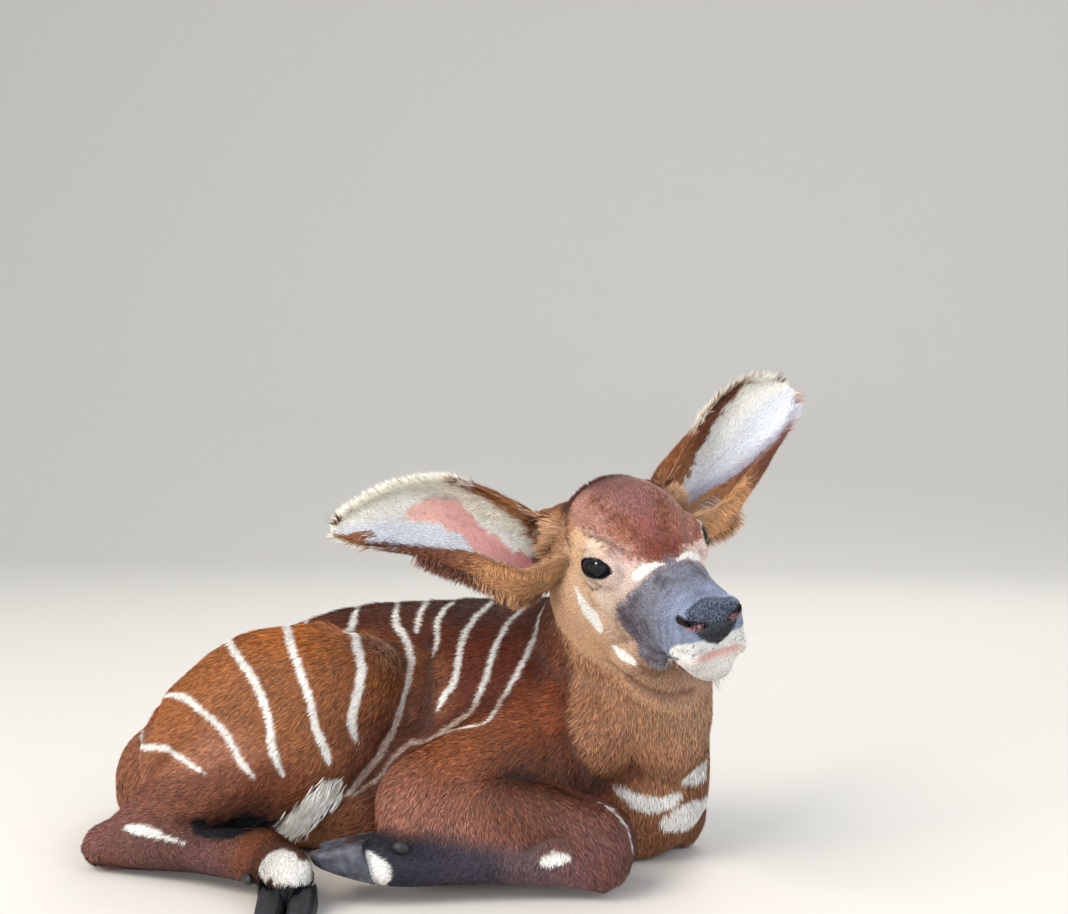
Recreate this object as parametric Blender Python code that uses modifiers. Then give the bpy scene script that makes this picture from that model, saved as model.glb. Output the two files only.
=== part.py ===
"""A bongo antelope calf at life size, lying with its legs folded and its head turned.

Metres, with +X towards the animal's head, +Y to its left and +Z up from the ground.
The flesh is modelled whole, as one closed skin over lofted masses, and thin cuts then part
it into named nodes. Ears, eyes and hooves are solids of their own, set against that skin.
"""

import math

import bmesh
import bpy
import numpy as np
from mathutils import Matrix, Vector

# Driving dimensions
GAP = 0.0003  # clearance that two touching pieces keep
BODY_VOXEL = 0.004
HEAD_VOXEL = 0.002
BODY_TRIANGLES = 3500
HEAD_TRIANGLES = 2600
RING_SIDES = 24
CUTTER_SIDES = 8
ORIGIN = Vector((0.0307, -0.0225, 0.0))  # middle of the calf's footprint box

# Trunk sections: x, y, spine height, widest height, underside height, half width
TRUNK_STATIONS = (
    (-0.255, 0.000, 0.070, 0.043, 0.012, 0.028),
    (-0.238, 0.000, 0.088, 0.050, 0.000, 0.048),
    (-0.205, 0.000, 0.112, 0.060, -0.005, 0.066),
    (-0.165, 0.000, 0.143, 0.070, -0.006, 0.082),
    (-0.115, 0.000, 0.175, 0.080, -0.006, 0.094),
    (-0.045, 0.000, 0.200, 0.088, -0.008, 0.106),
    (0.030, 0.000, 0.207, 0.092, -0.006, 0.104),
    (0.100, 0.000, 0.211, 0.098, -0.004, 0.094),
    (0.160, 0.000, 0.208, 0.104, -0.004, 0.080),
    (0.210, -0.002, 0.182, 0.100, -0.003, 0.063),
    (0.245, -0.002, 0.158, 0.096, 0.012, 0.048),
    (0.266, 0.000, 0.134, 0.092, 0.044, 0.026),
)
CHEST_CUT = 0.085
RUMP_CUT = -0.115
BREAST = ((0.212, -0.014, 0.070), (0.034, 0.034, 0.074))  # keel of the chest: place, radii

# Neck: place, half width across, half depth from nape to throat
NECK = (
    ((0.120, 0.004, 0.130), 0.062, 0.078),
    ((0.178, -0.014, 0.165), 0.060, 0.070),
    ((0.202, -0.050, 0.205), 0.054, 0.062),
    ((0.201, -0.078, 0.240), 0.048, 0.055),
    ((0.198, -0.088, 0.262), 0.041, 0.045),
)
# the throat, which fills the neck out under the jaw
THROAT = (
    ((0.231, -0.062, 0.166), 0.038, 0.040),
    ((0.232, -0.050, 0.145), 0.042, 0.043),
    ((0.230, -0.036, 0.112), 0.042, 0.042),
)
NECK_TOP = Vector((0.2268, -0.0726, 0.1766))  # under the jaw
NECK_AXIS = Vector((0.33, -0.81, 0.485))
NECK_ROOT = Vector((0.196, -0.014, 0.166))
NECK_ROOT_AXIS = Vector((0.42, -0.30, 0.86))

# Head, in its own frame: x along the face to the nose, y to its left, z to its crown
HEAD_PLACE = Vector((0.2125, -0.0900, 0.2600))
HEAD_TURN = math.radians(-55)
HEAD_NOD = math.radians(18)
HEAD_ROLL = math.radians(15)
# Sections: x, top, widest height, underside, half width, squareness
HEAD_STATIONS = (
    (-0.062, 0.020, -0.005, -0.038, 0.022, 2.0),
    (-0.050, 0.037, -0.003, -0.060, 0.037, 2.1),
    (-0.026, 0.050, 0.000, -0.076, 0.047, 2.1),
    (0.004, 0.054, 0.003, -0.082, 0.0485, 2.0),
    (0.028, 0.047, 0.006, -0.081, 0.0450, 2.0),
    (0.050, 0.032, 0.000, -0.075, 0.0375, 2.0),
    (0.072, 0.021, -0.010, -0.067, 0.0320, 2.1),
    (0.094, 0.016, -0.014, -0.058, 0.0290, 2.3),
    (0.115, 0.013, -0.014, -0.051, 0.0285, 2.5),
    (0.130, 0.009, -0.013, -0.045, 0.0255, 2.6),
    (0.139, 0.001, -0.013, -0.036, 0.0175, 2.3),
)
EYE = Vector((0.034, 0.0340, 0.010))  # eyeball centre, on the left
EYE_RADIUS = 0.0145
LID_REACH = 0.0150
LID_THICKNESS = 0.0024
BROW = ((0.030, 0.0350, 0.0240), (0.019, 0.008, 0.0065))
SOCKET = ((0.036, 0.033, 0.009), (0.023, 0.0135, 0.017))
CHEEK = ((0.006, 0.029, -0.044), (0.040, 0.018, 0.032))
JAW_FRONT = ((0.066, 0.019, -0.057), (0.042, 0.012, 0.015))
JAW_BACK = ((0.030, 0.024, -0.066), (0.036, 0.014, 0.018))
TEMPLE = ((-0.032, 0.034, 0.000), (0.031, 0.027, 0.035))
LIP = ((0.110, 0.017, -0.027), (0.032, 0.012, 0.010))
CHIN = ((0.117, 0.0, -0.041), (0.024, 0.018, 0.011))
NOSE_PAD = ((0.131, 0.0, -0.001), (0.011, 0.020, 0.014))
NOSTRIL_WING = ((0.128, 0.0165, 0.000), (0.011, 0.008, 0.010))
NOSTRIL = ((0.1375, 0.0160, 0.001), (0.0100, 0.0040, 0.0038))
MOUTH_CORNER = 0.090
MOUTH_FRONT = 0.141
MOUTH_DROP = 0.0205
MOUTH_SLOPE = 0.45
MOUTH_BORE = 0.0015

# Ears
EAR_ROOT = Vector((-0.030, 0.044, 0.008))  # on the left of the head
EAR_BULB = 0.018
EAR_THICKNESS = 0.0030
CONCHA = (0.030, 0.017, 0.015)  # hollow at the root of the cup: along the ear, across, deep
EAR_SIDES = 11
EAR_STEPS = 1
# Sections from root to tip: share of the length, shift towards the front rim, half width,
# depth, and how far round from the back the rear and the front rim stand, in degrees
EAR_RIGHT_SECTIONS = (
    (0.000, 0.008, 0.0255, 0.023, 132, 152),
    (0.100, 0.012, 0.0290, 0.023, 118, 148),
    (0.200, 0.012, 0.0385, 0.023, 107, 145),
    (0.310, 0.003, 0.0405, 0.021, 100, 142),
    (0.430, -0.006, 0.0380, 0.018, 96, 138),
    (0.540, -0.010, 0.0345, 0.014, 92, 130),
    (0.650, -0.012, 0.0290, 0.010, 90, 118),
    (0.760, -0.010, 0.0240, 0.007, 88, 108),
    (0.875, -0.005, 0.0165, 0.004, 85, 98),
    (0.960, -0.001, 0.0085, 0.002, 82, 88),
    (1.000, 0.001, 0.0040, 0.001, 80, 82),
)
EAR_LEFT_SECTIONS = (
    (0.000, 0.005, 0.0280, 0.024, 136, 156),
    (0.100, 0.009, 0.0325, 0.023, 130, 152),
    (0.200, 0.010, 0.0350, 0.022, 122, 150),
    (0.340, 0.007, 0.0345, 0.020, 114, 146),
    (0.510, 0.004, 0.0340, 0.017, 104, 140),
    (0.660, 0.001, 0.0320, 0.012, 95, 128),
    (0.790, 0.000, 0.0285, 0.008, 90, 114),
    (0.870, 0.001, 0.0240, 0.006, 88, 104),
    (0.940, 0.003, 0.0165, 0.003, 85, 94),
    (1.000, 0.004, 0.0070, 0.001, 80, 82),
)
# Tip of each ear, and the way its cup opens
EAR_RIGHT = (Vector((0.005, -0.176, 0.276)), Vector((0.20, -0.93, 0.45)))
EAR_LEFT = (Vector((0.325, 0.060, 0.391)), Vector((0.30, -0.92, 0.10)))

# Legs. Each joint is place and radius, but sole and toe are where the claws' soles start and
# end, with the height of the wall there. A folded forefoot shows its soles at the top.
FORE_RIGHT = {
    "shoulder": ((0.180, -0.052, 0.120), 0.046),
    "elbow": ((0.062, -0.124, 0.060), 0.044),
    "knee": ((0.196, -0.126, 0.045), 0.0285),
    "fetlock": ((0.052, -0.174, 0.030), 0.0185),
    "coronet": ((0.023, -0.177, 0.034), 0.0185),
    "sole": ((0.031, -0.177, 0.0505), 0.034),
    "toe": ((-0.010, -0.179, 0.0400), 0.012),
}
FORE_LEFT = {
    "shoulder": ((0.180, 0.050, 0.112), 0.044),
    "elbow": ((0.085, 0.104, 0.058), 0.042),
    "knee": ((0.234, 0.030, 0.037), 0.0275),
    "fetlock": ((0.090, 0.166, 0.028), 0.0180),
    "coronet": ((0.060, 0.178, 0.030), 0.0180),
    "sole": ((0.064, 0.177, 0.0480), 0.034),
    "toe": ((0.024, 0.190, 0.0370), 0.012),
}
HIND_RIGHT = {
    "hip": ((-0.152, -0.070, 0.078), 0.066),
    "stifle": ((-0.008, -0.100, 0.148), 0.058),
    "hock": ((-0.194, -0.134, 0.021), 0.021),
    "fetlock": ((-0.054, -0.172, 0.029), 0.0200),
    "coronet": ((-0.019, -0.206, 0.0285), 0.0210),
    "sole": ((-0.020, -0.205, -0.0025), 0.028),
    "toe": ((-0.008, -0.252, -0.0025), 0.012),
}
HIND_LEFT = {
    "hip": ((-0.148, 0.066, 0.076), 0.064),
    "stifle": ((-0.020, 0.104, 0.104), 0.056),
    "hock": ((-0.188, 0.128, 0.022), 0.022),
    "fetlock": ((-0.044, 0.166, 0.026), 0.0200),
    "coronet": ((-0.008, 0.180, 0.028), 0.0205),
    "sole": ((-0.010, 0.180, -0.0025), 0.028),
    "toe": ((0.036, 0.194, -0.0025), 0.012),
}
CANNON_RADIUS = 0.0160
SHANK_RADIUS = 0.040
CLAW_HALF_WIDTH = 0.0106
# Shares of a claw's length, with its width and its wall's height there
CLAW_PROFILE = ((0, 0.94, 1.0), (0.3, 1.0, 1.0), (0.6, 0.97, 0.98), (0.82, 0.84, 0.92),
                (0.94, 0.62, 0.80), (1.0, 0.34, 0.55))
SHOULDER_POINT = ((0.230, 0.044, 0.082), (0.030, 0.026, 0.046))  # left one, seen past the chest
DEWCLAW_RADII = (0.0095, 0.0060, 0.0065)

# Tail: place, radius
TAIL = (
    ((-0.190, 0.004, 0.118), 0.017),
    ((-0.226, 0.018, 0.092), 0.014),
    ((-0.256, 0.044, 0.052), 0.012),
    ((-0.262, 0.082, 0.020), 0.011),
    ((-0.232, 0.118, 0.012), 0.012),
    ((-0.196, 0.140, 0.011), 0.009),
)

COLOURS = {  # base colour, roughness
    "coat": ((0.36, 0.13, 0.055), 0.75),
    "head_coat": ((0.42, 0.17, 0.08), 0.72),
    "leg_coat": ((0.25, 0.10, 0.06), 0.75),
    "ear": ((0.55, 0.30, 0.20), 0.70),
    "eye": ((0.010, 0.010, 0.014), 0.08),
    "horn": ((0.045, 0.045, 0.050), 0.45),
}


def clear_scene():
    for obj in list(bpy.data.objects):
        bpy.data.objects.remove(obj, do_unlink=True)


def new_collection(name):
    made = bpy.data.collections.new(name)
    bpy.context.scene.collection.children.link(made)
    return made


def new_object(bm, name, collection):
    """A mesh object from a bmesh, which is freed.

    All faces are triangles, so that a grown copy bends along the same edges as its source.
    """
    bmesh.ops.triangulate(bm, faces=bm.faces)
    mesh = bpy.data.meshes.new(name)
    bm.to_mesh(mesh)
    bm.free()
    obj = bpy.data.objects.new(name, mesh)
    collection.objects.link(obj)
    return obj


def copy_of(obj, name, collection):
    made = bpy.data.objects.new(name, obj.data.copy())
    collection.objects.link(made)
    return made


def remove(obj):
    mesh = obj.data
    bpy.data.objects.remove(obj, do_unlink=True)
    bpy.data.meshes.remove(mesh)


def settle(obj):
    """Applies the object's modifiers."""
    bpy.context.view_layer.update()
    graph = bpy.context.evaluated_depsgraph_get()
    mesh = bpy.data.meshes.new_from_object(obj.evaluated_get(graph))
    obj.modifiers.clear()
    old = obj.data
    obj.data = mesh
    bpy.data.meshes.remove(old)


def keep_largest(obj):
    """Drops every closed surface but the one that holds most, and leaves triangles only."""
    bm = bmesh.new()
    bm.from_mesh(obj.data)
    bmesh.ops.triangulate(bm, faces=bm.faces)
    bm.faces.ensure_lookup_table()
    seen = set()
    shells = []
    for face in bm.faces:
        if face.index in seen:
            continue
        seen.add(face.index)
        shell = [face]
        for item in shell:
            for edge in item.edges:
                for other in edge.link_faces:
                    if other.index not in seen:
                        seen.add(other.index)
                        shell.append(other)
        volume = sum(
            f.calc_center_median().dot(f.normal) * f.calc_area() for f in shell
        )
        shells.append((abs(volume), shell))
    shells.sort(key=lambda item: item[0])
    for _, shell in shells[:-1]:
        bmesh.ops.delete(bm, geom=shell, context="FACES")
    bm.to_mesh(obj.data)
    bm.free()


def boolean(obj, others, operation):
    """Applies one Boolean for each of the others, on closed meshes."""
    for other in others:
        modifier = obj.modifiers.new("cut", "BOOLEAN")
        modifier.operation = operation
        modifier.solver = "MANIFOLD"
        modifier.object = other
        settle(obj)


def grown(obj, by, collection):
    """A copy whose surface stands off by a clearance."""
    made = copy_of(obj, obj.name + "_grown", collection)
    modifier = made.modifiers.new("grow", "DISPLACE")
    modifier.mid_level = 0.0
    modifier.strength = by
    settle(made)
    return made


def oval(centre, side, up, half_width, rise, drop, squareness=2.0, sides=RING_SIDES):
    """Points round a rounded section that may be taller above its middle than below."""
    ring = []
    power = 2.0 / squareness
    for index in range(sides):
        angle = 2 * math.pi * index / sides
        c, s = math.cos(angle), math.sin(angle)
        across = half_width * math.copysign(abs(c) ** power, c)
        reach = rise if s > 0 else drop
        ring.append(centre + side * across + up * reach * math.copysign(abs(s) ** power, s))
    return ring


def loft(bm, rings):
    """A closed tube through rings of points, facing out."""
    loops = [[bm.verts.new(point) for point in ring] for ring in rings]
    faces = []
    for low, high in zip(loops, loops[1:]):
        for index in range(len(low)):
            after = (index + 1) % len(low)
            faces.append(bm.faces.new((low[index], low[after], high[after], high[index])))
    faces.append(bm.faces.new(list(reversed(loops[0]))))
    faces.append(bm.faces.new(loops[-1]))
    bmesh.ops.recalc_face_normals(bm, faces=faces)


def ball(bm, centre, radii, turn=None):
    """An ellipsoid. turn is the matrix of its own frame."""
    placed = (turn or Matrix.Identity(4)) @ Matrix.Translation(centre)
    matrix = placed @ Matrix.Diagonal((*radii, 1.0))
    bmesh.ops.create_uvsphere(bm, u_segments=24, v_segments=14, radius=1.0, matrix=matrix)


def spline(values, steps):
    """Points on a smooth curve through rows of numbers."""
    rows = [np.array(row, float) for row in values]
    rows = [2 * rows[0] - rows[1], *rows, 2 * rows[-1] - rows[-2]]
    found = []
    for a, b, c, d in zip(rows, rows[1:], rows[2:], rows[3:]):
        for step in range(steps):
            t = step / steps
            found.append(
                0.5 * (2 * b + (c - a) * t + (2 * a - 5 * b + 4 * c - d) * t**2
                       + (3 * b - a - 3 * c + d) * t**3)
            )
    found.append(rows[-2])
    return found


def tube(bm, joints, steps=6, up=Vector((0, 0, 1))):
    """A limb through joints of (place, half width, half depth), with round ends."""
    rows = spline([(*place, wide, deep) for place, wide, deep in joints], steps)
    places = [Vector(row[:3]) for row in rows]
    rings = []
    last = len(rows) - 1
    for index, row in enumerate(rows):
        ahead = places[min(index + 1, last)] - places[max(index - 1, 0)]
        ahead.normalize()
        side = up.cross(ahead).normalized()
        above = ahead.cross(side)
        rings.append(oval(places[index], side, above, row[3], row[4], row[4]))
    loft(bm, rings)
    for row in (rows[0], rows[-1]):
        radius = min(row[3], row[4])
        ball(bm, Vector(row[:3]), (radius, radius, radius))


def head_frame():
    """The matrix that takes head coordinates to the body's."""
    turn = (
        Matrix.Rotation(HEAD_TURN, 4, "Z")
        @ Matrix.Rotation(HEAD_NOD, 4, "Y")
        @ Matrix.Rotation(HEAD_ROLL, 4, "X")
    )
    return Matrix.Translation(HEAD_PLACE) @ turn


def both_sides(bm, shape, frame):
    """A rounded mass on the left of the head and its mirror on the right."""
    (x, y, z), radii = shape
    for side in (1, -1) if y else (1,):
        ball(bm, (x, y * side, z), radii, frame)


def trunk_masses(bm):
    side, up = Vector((0, 1, 0)), Vector((0, 0, 1))
    rings = []
    for row in spline(TRUNK_STATIONS, 4):
        x, y, top, wide, low, half = row
        rings.append(oval(Vector((x, y, wide)), side, up, half, top - wide, wide - low, 2.3))
    loft(bm, rings)
    ball(bm, *BREAST)
    ball(bm, *SHOULDER_POINT)


def neck_masses(bm):
    tube(bm, NECK, up=Vector((1, 0, 0.25)))
    tube(bm, THROAT, up=Vector((1, 0, 0.25)))


def head_masses(bm, frame):
    rings = []
    for x, top, wide, low, half, square in spline(HEAD_STATIONS, 4):
        ring = oval(Vector((x, 0, wide)), Vector((0, 1, 0)), Vector((0, 0, 1)),
                    half, top - wide, wide - low, square)
        rings.append([frame @ point for point in ring])
    loft(bm, rings)
    for shape in (BROW, SOCKET, CHEEK, JAW_FRONT, JAW_BACK, TEMPLE, LIP, CHIN, NOSE_PAD,
                  NOSTRIL_WING):
        both_sides(bm, shape, frame)
    for side in (1, -1):
        root = frame @ Vector((EAR_ROOT.x, EAR_ROOT.y * side, EAR_ROOT.z))
        ball(bm, root, (EAR_BULB, EAR_BULB, EAR_BULB))
        lids(bm, frame, side)


def lids(bm, frame, side):
    """A raised almond rim round one eye, drawn in the plane that the eyeball looks out of."""
    outward = Vector((0.55, side * 0.80, 0.22)).normalized()
    ahead = Vector((1, 0, -0.12))
    ahead = (ahead - outward * ahead.dot(outward)).normalized()
    above = outward.cross(ahead) * side
    centre = Vector((EYE.x, EYE.y * side, EYE.z)) + outward * EYE_RADIUS * 0.52
    steps = 20
    rings = []
    for index in range(steps):
        angle = 2 * math.pi * index / steps
        spoke = ahead * math.cos(angle) * 1.04 + above * math.sin(angle) * 0.76
        middle = centre + spoke * LID_REACH * 0.95
        rings.append(
            [frame @ point for point in oval(middle, spoke.normalized(), outward,
                                             LID_THICKNESS, LID_THICKNESS, 3 * LID_THICKNESS,
                                             sides=8)]
        )
    loops = [[bm.verts.new(point) for point in ring] for ring in rings]
    faces = []
    for index, low in enumerate(loops):
        high = loops[(index + 1) % steps]
        for k in range(8):
            after = (k + 1) % 8
            faces.append(bm.faces.new((low[k], low[after], high[after], high[k])))
    bmesh.ops.recalc_face_normals(bm, faces=faces)


def round_joint(leg, name, scale=1.0):
    place, radius = leg[name]
    return (place, radius * scale, radius * scale)


def cannon_joints(leg, top, scale=1.0, extra=0.0):
    """The long bone below the knee or hock, from just inside that joint to the fetlock."""
    upper = Vector(leg[top][0])
    lower = Vector(leg["fetlock"][0])
    start = upper.lerp(lower, 0.10)
    start.z = max(CANNON_RADIUS, min(start.z, 0.026))
    middle = start.lerp(lower, 0.5)
    shaft = CANNON_RADIUS * scale + extra
    end = leg["fetlock"][1] * scale + extra
    return [(tuple(start), shaft * 1.15, shaft * 1.2), (tuple(middle), shaft, shaft),
            (tuple(lower), end, end)]


def fore_masses(bm, leg):
    tube(bm, [round_joint(leg, "shoulder"), round_joint(leg, "elbow")])
    elbow, knee = Vector(leg["elbow"][0]), Vector(leg["knee"][0])
    belly = elbow.lerp(knee, 0.45)
    belly.z += 0.006
    tube(bm, [round_joint(leg, "elbow"), (tuple(belly), 0.036, 0.038), round_joint(leg, "knee", 0.94)])
    ball(bm, knee - Vector((0, 0, 0.006)), (0.029, 0.028, 0.037))
    tube(bm, cannon_joints(leg, "knee"))
    foot_masses(bm, leg)


def hind_masses(bm, leg):
    hip, stifle = Vector(leg["hip"][0]), Vector(leg["stifle"][0])
    hock = Vector(leg["hock"][0])
    tube(bm, [(leg["hip"][0], 0.052, leg["hip"][1]),
              (tuple(hip.lerp(stifle, 0.5)), 0.054, 0.080),
              (leg["stifle"][0], 0.044, leg["stifle"][1])])
    shin = stifle.lerp(hock, 0.45)
    tube(bm, [(leg["stifle"][0], 0.036, 0.054), (tuple(shin), 0.034, SHANK_RADIUS),
              round_joint(leg, "hock")])
    ball(bm, hock + Vector((-0.006, 0.0, -0.002)), (0.026, 0.020, 0.021))
    tube(bm, cannon_joints(leg, "hock", 1.12))
    foot_masses(bm, leg)


def foot_masses(bm, leg):
    tube(bm, [round_joint(leg, "fetlock"), round_joint(leg, "coronet")])


def claw(name, leg, side, collection):
    """One hoof claw, a wedge from its heel to the toe with a flat sole."""
    (heel, wall), (toe, low_wall) = leg["sole"], leg["toe"]
    heel, toe = Vector(heel), Vector(toe)
    ahead = (toe - heel).normalized()
    across = Vector((0, 0, 1)).cross(ahead).normalized()
    above = ahead.cross(across) * (-1 if name.startswith("fore") else 1)
    rings = []
    for share, wide, high in CLAW_PROFILE:
        middle = heel.lerp(toe, share) + across * side * (CLAW_HALF_WIDTH + 0.0006)
        half = CLAW_HALF_WIDTH * wide
        height = (wall + (low_wall - wall) * share) * high
        rings.append(oval(middle + above * height * 0.3, across, above, half, height * 0.7,
                          height * 0.3, 3.0, 12))
    bm = bmesh.new()
    loft(bm, rings)
    return new_object(bm, name, collection)


def dewclaw(name, leg, side, collection):
    """A small horn bud behind the fetlock, on the side of the soles."""
    fetlock, coronet = Vector(leg["fetlock"][0]), Vector(leg["coronet"][0])
    ahead = (coronet - fetlock).normalized()
    across = Vector((0, 0, 1)).cross(ahead).normalized()
    above = ahead.cross(across)
    if name.startswith("fore"):
        place, out = fetlock - ahead * 0.003, across * side * 0.6 + above * 0.8
    else:
        place, out = fetlock + ahead * 0.018, across * side * 0.9 - above * 0.43
    place += out * leg["fetlock"][1] * 1.08
    place.z = max(place.z, DEWCLAW_RADII[2] * 0.9)
    turn = Matrix.Translation(place) @ ahead.to_track_quat("X", "Z").to_matrix().to_4x4()
    bm = bmesh.new()
    matrix = turn @ Matrix.Diagonal((*DEWCLAW_RADII, 1.0))
    bmesh.ops.create_uvsphere(bm, u_segments=10, v_segments=6, radius=1.0, matrix=matrix)
    return new_object(bm, name, collection)


def voxel_skin(bm, name, voxel, smoothing, triangles, collection):
    """One closed skin round all the masses, thinned to about that many triangles."""
    obj = new_object(bm, name, collection)
    remesh = obj.modifiers.new("skin", "REMESH")
    remesh.mode = "VOXEL"
    remesh.voxel_size = voxel
    settle(obj)
    smooth = obj.modifiers.new("smooth", "SMOOTH")
    smooth.factor = 0.5
    smooth.iterations = smoothing
    settle(obj)
    keep_largest(obj)
    thin = obj.modifiers.new("thin", "DECIMATE")
    thin.ratio = min(1.0, triangles / (2.0 * len(obj.data.polygons)))
    settle(obj)
    return obj


def half_space(name, point, normal, collection, size=0.6):
    """A block whose one face lies on a plane and which fills the side that the normal points to."""
    turn = normal.normalized().to_track_quat("Z", "X").to_matrix().to_4x4()
    matrix = Matrix.Translation(point) @ turn @ Matrix.Translation((0, 0, size / 2))
    bm = bmesh.new()
    bmesh.ops.create_cube(bm, size=size, matrix=matrix)
    return new_object(bm, name, collection)


def part_off(name, rest, region, cutters, nodes):
    """Makes a node of what lies in the region, and takes that and a gap off the rest."""
    node = copy_of(rest, name, nodes)
    boolean(node, [region], "INTERSECT")
    keep_largest(node)
    boolean(rest, [grown(region, GAP, cutters)], "DIFFERENCE")
    keep_largest(rest)
    return node


def region_of(name, cutters, *joints, up=Vector((0, 0, 1))):
    """A fat limb shape with rounded ends, which a node is cut out with."""
    places = [Vector(place) for place, _, _ in joints]
    rows = [(places[i], wide, deep) for i, (_, wide, deep) in enumerate(joints)]
    first = (places[0] - places[1]).normalized()
    last = (places[-1] - places[-2]).normalized()
    _, wide, deep = rows[0]
    head = [(places[0] + first * deep * reach, wide * width, deep * width)
            for reach, width in ((0.95, 0.3), (0.7, 0.72))]
    _, wide, deep = rows[-1]
    tail = [(places[-1] + last * deep * reach, wide * width, deep * width)
            for reach, width in ((0.7, 0.72), (0.95, 0.3))]
    rows = head + rows + tail
    rings = []
    for index, (place, wide, deep) in enumerate(rows):
        before, after = rows[max(index - 1, 0)][0], rows[min(index + 1, len(rows) - 1)][0]
        ahead = (after - before).normalized()
        side = up.cross(ahead).normalized()
        rings.append(oval(place, side, ahead.cross(side), wide, deep, deep,
                          sides=CUTTER_SIDES))
    bm = bmesh.new()
    loft(bm, rings)
    return new_object(bm, name + "_region", cutters)


def part_foot(prefix, leg, top, rest, cutters, nodes):
    """Cuts the pastern and the cannon, and sets hooves and dewclaws against them."""
    wide = leg["fetlock"][1] * 1.5
    fetlock, coronet = Vector(leg["fetlock"][0]), Vector(leg["coronet"][0])
    ahead = (coronet - fetlock).normalized()
    start = tuple(fetlock + ahead * 0.012)
    end = tuple(coronet + ahead * 0.02)
    region = region_of(prefix + "_pastern", cutters, (start, wide, wide), (end, wide, wide))
    pastern = part_off(prefix + "_pastern", rest, region, cutters, nodes)
    bone = "metacarpus" if top == "knee" else "metatarsus"
    joints = cannon_joints(leg, top, 1.18, 0.002)
    region = region_of(prefix + "_" + bone, cutters, *joints)
    cannon = part_off(prefix + "_" + bone, rest, region, cutters, nodes)
    across = Vector((0, 0, 1)).cross(ahead)
    outer = 1 if across.y * leg["fetlock"][0][1] > 0 else -1
    horn = []
    for side, word in ((outer, "outer"), (-outer, "inner")):
        horn.append(claw(f"{prefix}_hoof_{word}", leg, side, nodes))
        horn.append(dewclaw(f"{prefix}_dewclaw_{word}", leg, side, nodes))
    return [pastern, cannon], horn


def seat(horn, flesh, cutters):
    """Takes the leg's flesh and a gap off each hoof, and those and the hooves off each dewclaw."""
    around = [grown(piece, GAP, cutters) for piece in flesh]
    hooves = [piece for piece in horn if "hoof" in piece.name]
    for piece in hooves:
        boolean(piece, around, "DIFFERENCE")
        keep_largest(piece)
    around += [grown(piece, GAP, cutters) for piece in hooves]
    for piece in horn:
        if piece not in hooves:
            boolean(piece, around, "DIFFERENCE")
            keep_largest(piece)


def part_fore(prefix, leg, rest, cutters, nodes):
    flesh, horn = part_foot(prefix, leg, "knee", rest, cutters, nodes)
    elbow, knee = Vector(leg["elbow"][0]), Vector(leg["knee"][0])
    beyond = knee + (knee - elbow).normalized() * 0.010
    low = Vector((0, 0, -0.006))
    region = region_of(prefix + "_forearm", cutters,
                       (tuple(elbow.lerp(knee, 0.22) + low), 0.038, 0.030),
                       (tuple(elbow.lerp(knee, 0.55)), 0.048, 0.058),
                       (tuple(beyond), 0.044, 0.060))
    forearm = part_off(prefix + "_forearm", rest, region, cutters, nodes)
    shoulder = Vector(leg["shoulder"][0])
    region = region_of(prefix + "_upper_arm", cutters,
                       (tuple(shoulder), 0.052, 0.052),
                       (tuple(shoulder.lerp(elbow, 0.5)), 0.056, 0.056),
                       (tuple(elbow), 0.056, 0.056))
    upper = part_off(prefix + "_upper_arm", rest, region, cutters, nodes)
    flesh += [forearm, upper]
    seat(horn, flesh, cutters)
    return flesh, horn


def part_hind(prefix, leg, rest, cutters, nodes):
    flesh, horn = part_foot(prefix, leg, "hock", rest, cutters, nodes)
    hip, stifle = Vector(leg["hip"][0]), Vector(leg["stifle"][0])
    hock = Vector(leg["hock"][0])
    beyond = hock + (hock - stifle).normalized() * 0.02
    region = region_of(prefix + "_shank", cutters,
                       (tuple(stifle.lerp(hock, 0.30) - Vector((0, 0, 0.030))), 0.045, 0.036),
                       (tuple(stifle.lerp(hock, 0.6) - Vector((0, 0, 0.012))), 0.045, 0.038),
                       (tuple(hock), 0.042, 0.040),
                       (tuple(beyond), 0.040, 0.040))
    shank = part_off(prefix + "_shank", rest, region, cutters, nodes)
    out = Vector((0, math.copysign(0.024, hip.y), 0))
    region = region_of(prefix + "_thigh", cutters,
                       (tuple(hip + out + Vector((-0.03, 0, 0))), 0.082, 0.110),
                       (tuple(hip.lerp(stifle, 0.5) + out), 0.082, 0.122),
                       (tuple(stifle + out + Vector((0.01, 0, 0))), 0.074, 0.092))
    thigh = part_off(prefix + "_thigh", rest, region, cutters, nodes)
    flesh += [shank, thigh]
    seat(horn, flesh, cutters)
    return flesh, horn


def ear_axes(side, tip, facing):
    """Where an ear starts, its length, and the ways along it, out of its cup and across it."""
    root = head_frame() @ Vector((EAR_ROOT.x, EAR_ROOT.y * side, EAR_ROOT.z))
    ahead = (tip - root).normalized()
    facing = (facing - ahead * facing.dot(ahead)).normalized()
    return root, (tip - root).length, ahead, facing, ahead.cross(facing) * side


def concha(side, tip, facing, cutters):
    """The cutter for the hollow that an ear's cup ends in."""
    root, _, ahead, facing, across = ear_axes(side, tip, facing)
    axes = Matrix((ahead, across, facing)).transposed().to_4x4()
    middle = root + ahead * CONCHA[0] * 1.05 + facing * CONCHA[2] * 0.25
    bm = bmesh.new()
    ball(bm, (0, 0, 0), CONCHA, Matrix.Translation(middle) @ axes)
    bmesh.ops.recalc_face_normals(bm, faces=bm.faces)
    return new_object(bm, "concha", cutters)


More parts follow.
